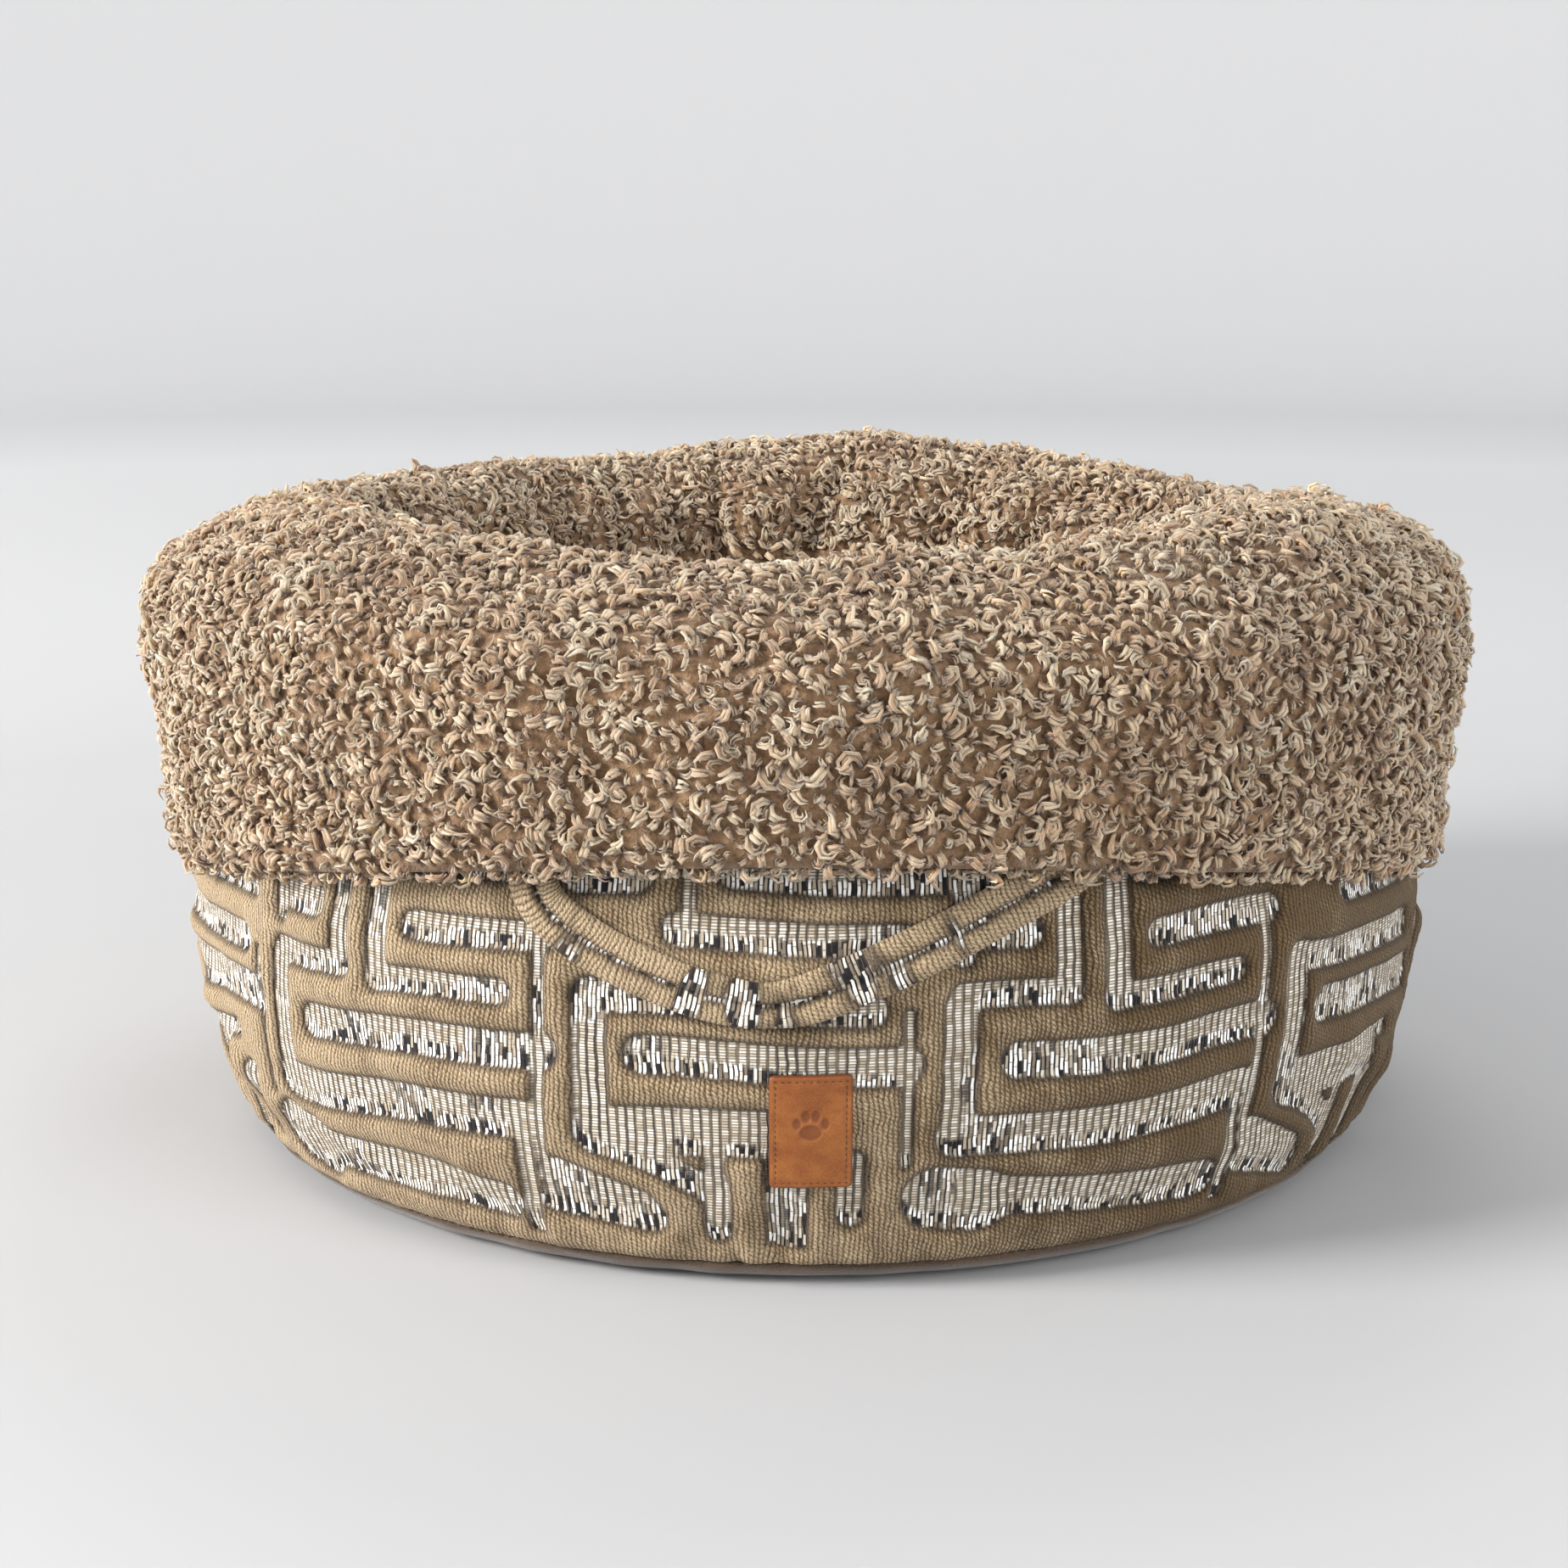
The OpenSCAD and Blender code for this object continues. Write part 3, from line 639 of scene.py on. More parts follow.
def peltColumns(phi, depth):
    # points of the fur's hide at these angles: up the cuff, over the crest, down inside to the floor
    hemHeight = hemAt((bedRadius - 6) * np.sin(phi))
    outerRows, crestRows, innerRows = (peltLook[k] for k in ("outerRows", "crestRows", "innerRows"))
    rowOf = np.arange(len(furFace))
    beltRow = 3 * spanSteps
    hemRow = np.interp(hemHeight, furFace[:beltRow, 1], rowOf[:beltRow])
    rows = []
    for i in range(outerRows):
        rows.append(hemRow + (beltRow - hemRow) * i / outerRows)
    for i in range(crestRows):
        rows.append(np.full_like(phi, beltRow + (mouthRow - beltRow) * i / crestRows))
    for i in range(innerRows + 1):
        rows.append(np.full_like(phi, mouthRow + (len(furFace) - 1 - mouthRow) * i / innerRows))
    row = np.array(rows)
    fromHem = np.clip((row - hemRow) / spanSteps, 0, 1)
    under = depth(fromHem)
    radius = np.interp(row, rowOf, furFace[:, 0]) + under * np.interp(row, rowOf, furInward[:, 0])
    height = np.interp(row, rowOf, furFace[:, 1]) + under * np.interp(row, rowOf, furInward[:, 1])
    outRadius = -np.interp(row, rowOf, furInward[:, 0])
    outHeight = -np.interp(row, rowOf, furInward[:, 1])
    angle = np.broadcast_to(phi, row.shape)
    arc = (row - crestRow) / spanSteps
    crestness = np.exp(-(arc / 1.15) ** 2)
    spot = around(angle, radius, height)
    free = smoothStep(0, 0.7, fromHem) * smoothStep(0, 1.2, (len(furFace) - 1 - row) / spanSteps)
    lumps = softNoise(spot, 62, 5.5) + 0.9 * softNoise(spot, 25, 1.5) + 0.4 * softNoise(spot, 15, 7.5)
    swell = peltLook["lumpHeight"] * (lumps - 0.35)
    ridge = np.abs(softNoise(around(angle, 165, arc * 9), 34, 8.2))
    gather = -peltLook["gatherHeight"] * np.exp(-(ridge / 0.24) ** 2) * smoothStep(0.35, 1.0, arc)
    gather = gather * (1 - smoothStep(2.3, 3.4, arc))
    stand = free * (swell + gather)
    radius = radius + outRadius * stand
    height = height + outHeight * stand + rimLift(angle) * crestness
    return around(angle, radius, height), hemHeight


def skinDepth(fromHem):
    return peltLook["hemDepth"] + (peltLook["skinDepth"] - peltLook["hemDepth"]) * fromHem


def hideDepth(fromHem):
    return skinDepth(fromHem) + peltLook["hideThickness"] - 0.8 * (1 - fromHem)


sideGap = 0.0035  # half the angle of the side seam's valley
peltSkins = {}


def makePelt(side):
    turn = 0.0 if side == "front" else math.pi
    phi = turn + np.linspace(-math.pi / 2 + sideGap, math.pi / 2 - sideGap, peltLook["columns"] // 2)
    skin, _ = peltColumns(phi, skinDepth)
    inside, _ = peltColumns(phi, hideDepth)
    pelt = shellPiece(side + "_fur_pelt", skin, inside, furSkin)
    place(pelt, "nest", "fur", side + "_fur_lining")
    peltSkins[side] = skin


for side in ("front", "back"):
    makePelt(side)
print("fur hides made")


lockLook = {
    "thickness": 1.22,     # half width of a lock at its fattest
    "length": 6.6,         # how far a lock reaches
    "cuffSpacing": 3.5, "liningSpacing": 4.8, "deepSpacing": 9.6, "cushionSpacing": 5.3,
    "spread": 0.36,        # how much lock sizes differ
    "lean": 0.8,           # how far locks tip over, in radians
    "cuffParts": 5,        # pieces the cuff's curls are kept in, on each side
    "deepShare": 0.55,     # share of the inner wall that has the closer curls
    "hemRows": ((-5.0, 0.6), (-2.6, -0.4), (-0.7, -0.2)),  # (outwards, up) from the hem
    "liningSize": 1.12, "deepSize": 1.2, "floorSize": 1.15, "cushionSize": 1.1,
}


def coilPath(kind, rng, count):
    # a lock's centre line: up from the hide, then round into a curl
    turns = {"ring": 0.85, "hook": 0.6, "wave": 0.5, "roll": 0.9}[kind] * rng.uniform(0.9, 1.1)
    reach = lockLook["length"]
    t = np.linspace(0, 1, count)
    a = -0.4 + t * turns * 2 * math.pi
    if kind == "ring":
        r = reach * (0.40 - 0.15 * t)
        rise = 0.2 + 3.4 * np.sin(t * math.pi * 0.6)
        return np.stack([r * np.cos(a) - 0.2 * reach, r * np.sin(a), rise], axis=1)
    if kind == "hook":
        r = reach * (0.40 - 0.13 * t)
        return np.stack([r * np.cos(a), 1.6 * t - 0.6, 1.5 + r * np.sin(a)], axis=1)
    if kind == "wave":
        rise = 0.1 + 3.5 * np.sin(t * 2.4)
        return np.stack([reach * (t - 0.45) * 0.9, 1.4 * np.sin(t * 5.2), rise], axis=1)
    r = reach * (0.34 - 0.17 * t)
    return np.stack([r * np.cos(a), 2.6 * t - 1.3, 1.8 + 0.85 * r * np.sin(a)], axis=1)


def makeLock(name, kind, seed, material, strands, segments):
    # a lock is a few tapering strands that follow one curl and part towards the tip
    rng = np.random.default_rng(seed)
    path = coilPath(kind, rng, segments + 1)
    n, sides = len(path), 3 if strands > 1 else 4
    step = np.gradient(path, axis=0)
    step /= np.linalg.norm(step, axis=1, keepdims=True)
    sideways = np.cross(step, [0.2, 0.1, 1.0])
    sideways /= np.linalg.norm(sideways, axis=1, keepdims=True)
    upwards = np.cross(sideways, step)
    t = np.linspace(0, 1, n)
    taper = (0.42 + 0.7 * np.sin(np.clip(t * 1.02, 0, 1) * math.pi) ** 0.7) * (1 - 0.55 * t)
    points, uv, faces = [], [], []
    for strand in range(strands):
        around0 = 2 * math.pi * strand / strands + rng.uniform(-0.4, 0.4)
        twist = rng.uniform(0.6, 1.8)
        offset = (0.5 * lockLook["thickness"] if strands > 1 else 0) * (0.7 + 0.75 * t)
        girth = lockLook["thickness"] * (0.78 if strands > 1 else 1.0) * taper * rng.uniform(0.85, 1.15)
        spin = around0 + twist * t
        centre = path + (offset * np.cos(spin))[:, None] * 1.25 * sideways \
            + (offset * np.sin(spin))[:, None] * 0.8 * upwards
        centre = centre - step * (rng.uniform(0, 0.9) if strand else 0)
        start = len(points)
        for i in range(n):
            for k in range(sides):
                b = 2 * math.pi * (k + 0.5) / sides + 1.3 * strand
                rim = 1.2 * math.cos(b) * sideways[i] + 0.9 * math.sin(b) * upwards[i]
                points.append(centre[i] + girth[i] * rng.uniform(0.8, 1.2) * rim)
                uv.append((t[i], strand * 1.7 + abs(k - sides / 2) / sides * 2))
        faces += gridFaces(n, sides, True, start)
        points.append(centre[-1] + step[-1] * girth[-1] * 2.4)
        uv.append((1.0, strand * 1.7 + 0.5))
        tip, last = len(points) - 1, start + (n - 1) * sides
        faces += [[last + k, last + (k + 1) % sides, tip] for k in range(sides)]
        faces.append([start + k for k in range(sides)][::-1])
    piece = newPiece(name, points, faces, material)
    tidyNormals(piece)
    setUv(piece, uv, "lock")
    bpy.context.scene.collection.objects.unlink(piece)
    return piece


fineLocks = bpy.data.collections.new("fine_locks")
plainLocks = bpy.data.collections.new("plain_locks")
for number, kind in enumerate(("ring", "hook", "hook", "wave", "roll", "ring", "roll")):
    fineLocks.objects.link(makeLock(f"fine_lock_{number}", kind, 20 + number, furLocks, 2, 5))
    plainLocks.objects.link(makeLock(f"plain_lock_{number}", kind, 40 + number, furLocks, 1, 5))


def curlTree():
    # scatters the lock shapes over a seat surface, each turned, tipped and sized by chance
    tree = bpy.data.node_groups.new("curls", "GeometryNodeTree")
    face = tree.interface
    face.new_socket("Geometry", in_out="INPUT", socket_type="NodeSocketGeometry")
    for name, kind in (("Spacing", "NodeSocketFloat"), ("Size", "NodeSocketFloat"),
                       ("Spread", "NodeSocketFloat"), ("Lean", "NodeSocketFloat"), ("Seed", "NodeSocketInt"),
                       ("Locks", "NodeSocketCollection"), ("Finish", "NodeSocketMaterial")):
        face.new_socket(name, in_out="INPUT", socket_type=kind)
    face.new_socket("Geometry", in_out="OUTPUT", socket_type="NodeSocketGeometry")
    given = addNode(tree, "NodeGroupInput").outputs
    scatter = addNode(tree, "GeometryNodeDistributePointsOnFaces",
                      {"Mesh": given["Geometry"], "Distance Min": given["Spacing"], "Density Max": 400000.0,
                       "Seed": given["Seed"]}, distribute_method="POISSON")

    def chance(low, high, shift, kind="FLOAT"):
        made = addNode(tree, "FunctionNodeRandomValue", data_type=kind)
        sockets = [s for s in made.inputs if s.enabled and s.name in ("Min", "Max")]
        for socket, value in zip(sockets, (low, high)):
            if isinstance(value, bpy.types.NodeSocket):
                tree.links.new(value, socket)
            else:
                socket.default_value = value
        tree.links.new(maths(tree, "ADD", given["Seed"], float(shift)), made.inputs["Seed"])
        return [s for s in made.outputs if s.enabled][0]

    minusLean = maths(tree, "MULTIPLY", given["Lean"], -1.0)
    tip = addNode(tree, "ShaderNodeCombineXYZ", {0: chance(minusLean, given["Lean"], 11),
                                                 1: chance(minusLean, given["Lean"], 12),
                                                 2: chance(0.0, 2 * math.pi, 13)}).outputs[0]
    tipTurn = addNode(tree, "FunctionNodeEulerToRotation", {0: tip}).outputs[0]
    facing = addNode(tree, "FunctionNodeRotateRotation", {0: scatter.outputs["Rotation"], 1: tipTurn},
                     rotation_space="LOCAL").outputs[0]
    low = maths(tree, "SUBTRACT", 1.0, given["Spread"])
    high = maths(tree, "ADD", 1.0, given["Spread"])
    size = maths(tree, "MULTIPLY", chance(low, high, 14), given["Size"])
    shapes = addNode(tree, "GeometryNodeCollectionInfo", {"Collection": given["Locks"],
                                                          "Separate Children": True, "Reset Children": True})
    placed = addNode(tree, "GeometryNodeInstanceOnPoints",
                     {"Points": scatter.outputs["Points"], "Instance": shapes.outputs[0],
                      "Pick Instance": True, "Instance Index": chance(0, 6, 15, "INT"),
                      "Rotation": facing, "Scale": size})
    toned = addNode(tree, "GeometryNodeStoreNamedAttribute", {"Geometry": placed.outputs[0], "Name": "tone",
                                                              "Value": chance(0.0, 1.0, 16)},
                    data_type="FLOAT", domain="INSTANCE")
    real = addNode(tree, "GeometryNodeRealizeInstances", {0: toned.outputs[0]})
    finished = addNode(tree, "GeometryNodeSetMaterial",
                       {"Geometry": real.outputs[0], "Material": given["Finish"]})
    out = addNode(tree, "NodeGroupOutput")
    tree.links.new(finished.outputs[0], out.inputs[0])
    return tree


def grownFrom(seat, tree, name, settings):
    # runs a node tree on a seat mesh and keeps the result as a plain mesh
    modifier = seat.modifiers.new("grow", "NODES")
    modifier.node_group = tree
    for item in tree.interface.items_tree:
        if item.in_out == "INPUT" and item.name in settings:
            modifier[item.identifier] = settings[item.name]
    seat.update_tag()
    bpy.context.view_layer.update()
    made = bpy.data.meshes.new_from_object(seat.evaluated_get(bpy.context.evaluated_depsgraph_get()))
    made.name = name
    seat.modifiers.remove(modifier)
    piece = bpy.data.objects.new(name, made)
    bpy.context.scene.collection.objects.link(piece)
    bpy.data.objects.remove(seat)
    return piece


curls = curlTree()
curlSeed = 7


def growCurls(name, skin, spacing, size=1.0, locks=plainLocks, wrap=False):
    global curlSeed
    curlSeed += 1
    rows, cols = skin.shape[:2]
    seat = newPiece(name + "_seat", skin, gridFaces(rows, cols, wrap))
    return grownFrom(seat, curls, name, {
        "Spacing": spacing * mm, "Size": size, "Spread": lockLook["spread"],
        "Lean": lockLook["lean"], "Seed": curlSeed, "Locks": locks, "Finish": furLocks})


def hemRoll(skin):
    # a few rows that carry the curls round under the cuff's hem
    first = skin[0]
    radial = outwardOf(first)
    rows = [first + radial * dr + np.array([0, 0, dz]) for dr, dz in lockLook["hemRows"]]
    return np.concatenate([np.array(rows), skin], axis=0)


def makeCurls(side):
    skin = peltSkins[side]
    cols = skin.shape[1]
    cuffRows = peltLook["outerRows"] + peltLook["crestRows"]
    deepRows = cuffRows + int(peltLook["innerRows"] * lockLook["deepShare"])
    parts = lockLook["cuffParts"]
    for k in range(parts):
        a, b = k * (cols - 1) // parts, (k + 1) * (cols - 1) // parts + 1
        cuff = growCurls(f"{side}_cuff_curls_{k + 1}", hemRoll(skin[:cuffRows + 1, a:b]),
                         lockLook["cuffSpacing"], locks=fineLocks)
        place(cuff, "nest", "fur")
    lining = growCurls(side + "_lining_curls", skin[cuffRows:deepRows + 1], lockLook["liningSpacing"],
                       lockLook["liningSize"])
    place(lining, "nest", "fur")
    deep = growCurls(side + "_deep_lining_curls", skin[deepRows:], lockLook["deepSpacing"],
                     lockLook["deepSize"])
    place(deep, "nest", "fur")


for side in ("front", "back"):
    makeCurls(side)
print("curls grown")


# The pattern is a raised velvet band that winds between flat-woven channels. Each channel is a stroke:
# its points (s round the wall, z up) and its width. One repeat is two motifs wide.
patternRepeat = 271.0
windingMotif = [
    ([(-95, 125), (-95, 104), (-97, 50)], 2.5), ([(-76.5, 111), (-76.5, 62)], 11),
    ([(-76, 111), (20, 111)], 10),
    ([(-57, 90.5), (31, 90.5)], 13), ([(-74, 61), (-13, 63)], 17), ([(-20, 68), (4, 70)], 5),
    ([(-33.5, 52), (-33.5, 20)], 5), ([(-8.5, 50), (-8.5, 14)], 13), ([(14, 54), (14, 32)], 8),
    ([(-92, 43), (-62, 31)], 12), ([(-93, 33), (-58, 26)], 11), ([(-72, 57), (-52, 49), (-35, 38)], 9),
    ([(-34, 42), (-33, 24)], 8),
    ([(-41.5, 166), (-41.5, 135)], 3), ([(-45, 135), (30, 135)], 10), ([(-27, 155.5), (60, 155.5)], 9),
    ([(-80, 154), (-61, 154)], 13), ([(52, 160), (52, 128)], 5),
]
steppedMotif = [
    ([(33, 109), (33, 53)], 2), ([(51, 110), (51, 63)], 10), ([(51, 62), (168, 64)], 14),
    ([(168, 58), (168, 19)], 4), ([(72, 90), (176, 90)], 12),
    ([(126, 131.5), (178, 131.5)], 9), ([(109, 111), (161, 111)], 8),
    ([(108.5, 154), (108.5, 111)], 8), ([(89.5, 150), (89.5, 115)], 7), ([(89.5, 114.5), (52, 114.5)], 8),
    ([(58, 136), (74, 136)], 10), ([(45, 38), (60, 36)], 24), ([(60, 38), (110, 34), (156, 29)], 14),
    ([(120, 155), (176, 155)], 9),
]


clothLay = {
    "step": {"front": 1.32, "back": 1.85},   # grid of the visible cloth
    "pileHeight": 1.3,     # step from the ground weave up to the velvet
    "pileCrown": 2.1,      # how much further the middle of a velvet band swells
    "fray": 0.28,          # unevenness of the velvet's top
    "coarseStep": 9.0,     # where the cuff hides the cloth
    "topOfView": 172.0,
    "inset": 2.0,          # the ground weave lies this far inside the wall's outline
    "channelEase": 0.9,    # added to each side of a channel
    "channelCorner": 2.6,
    "plainEdge": 17.5,     # height of the plain velvet edge above the base seam
    "sideTuck": 2.2, "footTuck": 1.4,   # how far the seams pull the cloth in
    "clear": 6.0,          # pile value of the cloth behind the cuff, all velvet
}


def channelDistance(s, z):
    # below 0 inside a channel, above 0 on the velvet, with its corners rounded
    corner = clothLay["channelCorner"]
    z = z + 5.0 * np.minimum(np.abs(s) / 185, 1.6) ** 2
    z = z + 1.6 * np.sin(s / 41) + 0.8 * np.sin(s / 17 + 1)
    best = np.full(np.shape(s), 40.0)
    for repeat in range(-2, 3):
        for points, width in windingMotif + steppedMotif:
            moved = [(a + repeat * patternRepeat, b) for a, b in points]
            reach = [a for a, _ in moved]
            near = (s > min(reach) - 40) & (s < max(reach) + 40)
            if not near.any():
                continue
            d = strokeDistance(s[near], z[near], moved) - width / 2 - clothLay["channelEase"]
            old = best[near]
            h = np.clip(corner - np.abs(old - d), 0, None) / corner
            best[near] = np.minimum(old, d) - h * h * corner / 4
    hemBand = z - clothLay["plainEdge"]
    return np.where(hemBand < 0, np.maximum(best, -hemBand), best)


def panelSurface(s, z, seed):
    pile = channelDistance(s, z)
    raised = clothLay["pileHeight"] * smoothStep(-0.9, 0.9, pile) \
        + clothLay["pileCrown"] * smoothStep(-1, 5.5, pile)
    fray = clothLay["fray"] * softNoise(np.stack([s, z, 0 * s + seed], axis=-1), 2.2)
    radius = wallAt(z) - clothLay["inset"] + wallSlack(s, z, seed) + raised + fray * (pile > 0)
    return radius, pile


def makePanel(side):
    turn, seed = (0.0, 0.0) if side == "front" else (math.pi, 17.0)
    half = clothRadius * (math.pi / 2 - 0.002)
    step = clothLay["step"][side]
    s = np.linspace(-half, half, int(2 * half * wallRadius / clothRadius / step))
    z = np.linspace(wallLow, clothLay["topOfView"], int((clothLay["topOfView"] - wallLow) * 1.04 / step))
    S, Z = np.meshgrid(s, z)
    radius, pile = panelSurface(S, Z, seed)
    tuck = 1 - smoothStep(0, 5, half - np.abs(S))  # the side seams pull the edges in
    radius = radius - clothLay["sideTuck"] * tuck
    radius = radius - clothLay["footTuck"] * (1 - smoothStep(0, 2.5, Z - wallLow))
    # over the fold and down behind the cuff, where little is seen
    upper = np.arange(z[-1] + clothLay["coarseStep"], foldHeight, clothLay["coarseStep"])
    rows, heights = [radius], [Z]
    top = s * 0
    for height in upper:
        rows.append((wallAt(height) - 0.4 + top)[None])
        heights.append((height + top)[None])
    for turnBy in np.radians((30, 90, 150)):
        rows.append((wallAt(foldHeight) + bed["pocketGap"] / 2 * (1 - math.cos(turnBy)) + top)[None])
        heights.append((foldHeight - 0.5 + bed["pocketGap"] / 2 * math.sin(turnBy) + top)[None])
    hem = hemAt(bedRadius * np.sin(s / clothRadius)) + 1.5
    for share in np.linspace(0.05, 1, 9):
        height = foldHeight + (hem - foldHeight) * share
        rows.append(np.minimum(wallAt(height) + bed["pocketGap"], wallRadius + 0.8)[None])
        heights.append(height[None])
    R, H = np.concatenate(rows), np.concatenate(heights)
    phi = turn + s / clothRadius
    points = around(phi[None, :], R, H)
    panel = newPiece(side + "_wall_cloth", points, gridFaces(*R.shape), patternedCloth)
    setUv(panel, np.stack([np.broadcast_to(s, R.shape), H], axis=-1) * mm)
    full = np.full(R.shape, clothLay["clear"])
    full[:len(z)] = pile
    setAttribute(panel, "pile", full)
    # the floats show most under a velvet edge, and in patches
    below = channelDistance(S, Z - 6.0)
    bright = np.zeros(R.shape)
    patch = softNoise(np.stack([S, Z, 0 * S + seed], axis=-1), 26, 4.4)
    edges = smoothStep(-0.8, 0.8, below + 2.5 * patch)
    bright[:len(z)] = np.clip(edges + 0.8 * smoothStep(0.15, 0.3, patch), 0, 1)
    setAttribute(panel, "slub", bright)
    # painted side light, partly also the pile brushed one way: paler on the left of the front, darker on the
    # right
    napAndSideLight = 0.52 - 0.66 * smoothStep(-10, 190, s) + 0.46 * smoothStep(-90, -300, s)
    setAttribute(panel, "napAndSideLight", np.broadcast_to(napAndSideLight if side == "front" else napAndSideLight[::-1], R.shape))
    place(panel, "nest", "patterned_cloth", side + "_wall_panel")
    return panel


for side in ("front", "back"):
    makePanel(side)
print("wall cloth laid")


def makeStitch(name, length, radius, finish):
    # one thread stitch: it dives into the cloth at both ends
    rings, sides = 5, 5
    points = []
    for i in range(rings):
        t = i / (rings - 1)
        girth = radius * (0.45 + 0.55 * math.sin(t * math.pi))
        lift = radius * (1.5 * math.sin(t * math.pi) - 0.7)
        for k in range(sides):
            a = 2 * math.pi * k / sides
            points.append((length * (t - 0.5), girth * math.cos(a), lift + girth * math.sin(a)))
    faces = gridFaces(rings, sides, True)
    faces += [list(range(sides)), [(rings - 1) * sides + k for k in range(sides)]]
    stitch = newPiece(name, points, faces, finish)
    tidyNormals(stitch)
    bpy.context.scene.collection.objects.unlink(stitch)
    return stitch


def sewTree():
    # sets one shape at every point of the seat, turned as the seat's "turn" attribute says
    tree = bpy.data.node_groups.new("sewing", "GeometryNodeTree")
    face = tree.interface
    face.new_socket("Geometry", in_out="INPUT", socket_type="NodeSocketGeometry")
    for name, kind in (("Shape", "NodeSocketObject"), ("Size", "NodeSocketFloat"),
                       ("Unevenness", "NodeSocketFloat"), ("Finish", "NodeSocketMaterial")):
        face.new_socket(name, in_out="INPUT", socket_type=kind)
    face.new_socket("Geometry", in_out="OUTPUT", socket_type="NodeSocketGeometry")
    given = addNode(tree, "NodeGroupInput").outputs
    shape = addNode(tree, "GeometryNodeObjectInfo", {"Object": given["Shape"]})
    turn = addNode(tree, "GeometryNodeInputNamedAttribute", {"Name": "turn"}, data_type="FLOAT_VECTOR")
    angle = addNode(tree, "FunctionNodeEulerToRotation", {0: turn.outputs[0]}).outputs[0]
    wobble = addNode(tree, "FunctionNodeRandomValue", data_type="FLOAT_VECTOR")
    wobble.inputs["Min"].default_value = (-1, -1, -1)
    wobble.inputs["Max"].default_value = (1, 1, 1)
    wobble.inputs["Seed"].default_value = 5
    tilt = addNode(tree, "ShaderNodeVectorMath", {0: wobble.outputs[0], "Scale": given["Unevenness"]},
                   operation="SCALE").outputs[0]
    tilted = addNode(tree, "FunctionNodeRotateRotation",
                     {0: angle, 1: addNode(tree, "FunctionNodeEulerToRotation", {0: tilt}).outputs[0]},
                     rotation_space="LOCAL").outputs[0]
    placed = addNode(tree, "GeometryNodeInstanceOnPoints",
                     {"Points": given["Geometry"], "Instance": shape.outputs["Geometry"], "Rotation": tilted,
                      "Scale": given["Size"]})
    real = addNode(tree, "GeometryNodeRealizeInstances", {0: placed.outputs[0]})
    finished = addNode(tree, "GeometryNodeSetMaterial",
                       {"Geometry": real.outputs[0], "Material": given["Finish"]})
    out = addNode(tree, "NodeGroupOutput")
    tree.links.new(finished.outputs[0], out.inputs[0])
    return tree


sewing = sewTree()


def sewOn(name, places, runs, outs, shape, finish):
    # places: where each stitch sits; runs: the way it runs; outs: away from the cloth
    x = np.asarray(runs, float)
    x = x / np.linalg.norm(x, axis=1, keepdims=True)
    z = np.asarray(outs, float)
    z = z - (z * x).sum(1, keepdims=True) * x
    z = z / np.linalg.norm(z, axis=1, keepdims=True)
    y = np.cross(z, x)
    turns = np.stack([np.arctan2(y[:, 2], z[:, 2]), np.arcsin(np.clip(-x[:, 2], -1, 1)),
                      np.arctan2(x[:, 1], x[:, 0])], axis=1)
    seat = newPiece(name + "_seat", places, [], smooth=False)
    attribute = seat.data.attributes.new("turn", "FLOAT_VECTOR", "POINT")
    attribute.data.foreach_set("vector", turns.astype(np.float32).ravel())
    return grownFrom(seat, sewing, name, {"Shape": shape, "Size": 1.0, "Unevenness": seamLook["unevenness"],
                                          "Finish": finish})


def ringOfStitches(name, radius, height, pitch, shape, finish):
    phi = roundAngles(int(2 * math.pi * radius / pitch))
    run = circle(phi)
    out = np.stack([np.sin(phi), -np.cos(phi), -0.15 + 0 * phi], axis=1)
    return sewOn(name, around(phi, radius, height), run, out, shape, finish)


seamLook = {"stitchLength": 3.6, "stitchPitch": 4.4, "threadRadius": 0.42, "unevenness": 0.06}
seamStitch = makeStitch("seam_stitch", seamLook["stitchLength"], seamLook["threadRadius"], threadStuff)


baseLook = {"pucker": 1.5, "puckerPitch": 11.0, "arch": 1.6, "columns": 540}


def makeBase():
    # the dark cloth under the bed, gathered into the seam at the foot of the wall
    outline = [(2, baseLook["arch"]), (60, 1.5), (130, 0.9), (190, 0.3), (footRadius - 8, 0.15),
               (footRadius, 0.5), (footRadius + 5, 1.4), (baseRadius - 5.5, 3.2), (baseRadius - 2.6, 5.2),
               (baseRadius - 1.0, 7.4), (baseRadius - 1.3, 9.0), (baseRadius - 3.2, 9.9)]
    path = curveThrough(outline, 4)
    count = baseLook["columns"]
    phi = roundAngles(count)
    grid = around(phi[None, :], path[:, :1], path[:, 1:])
    nearRim = smoothStep(footRadius - 25, baseRadius - 3, path[:, :1])
    ring = circle(phi) * baseRadius / baseLook["puckerPitch"] / 1.7
    pucker = softNoise(ring, 1.0, 2.2) - 0.25
    grid += outwardOf(grid) * (baseLook["pucker"] * pucker[None, :] * nearRim)[..., None]
    grid[..., 2] += np.maximum(0.35 * softNoise(grid, 40, 7.0), -0.1) * (1 - nearRim)
    centre = len(grid.reshape(-1, 3))
    points = np.concatenate([grid.reshape(-1, 3), [[0, 0, baseLook["arch"]]]])
    faces = gridFaces(len(path), count, True) + [[centre, (j + 1) % count, j] for j in range(count)]
    base = newPiece("base_cloth", points, faces, brownCloth)
    place(base, "nest", "brown_cloth", "base_panel")
    seam = ringOfStitches("base_seam_stitches", baseRadius - 1.4, bed["seamHeight"], seamLook["stitchPitch"],
                          seamStitch, threadStuff)
    place(seam, "nest", "thread", "base_seam_thread")


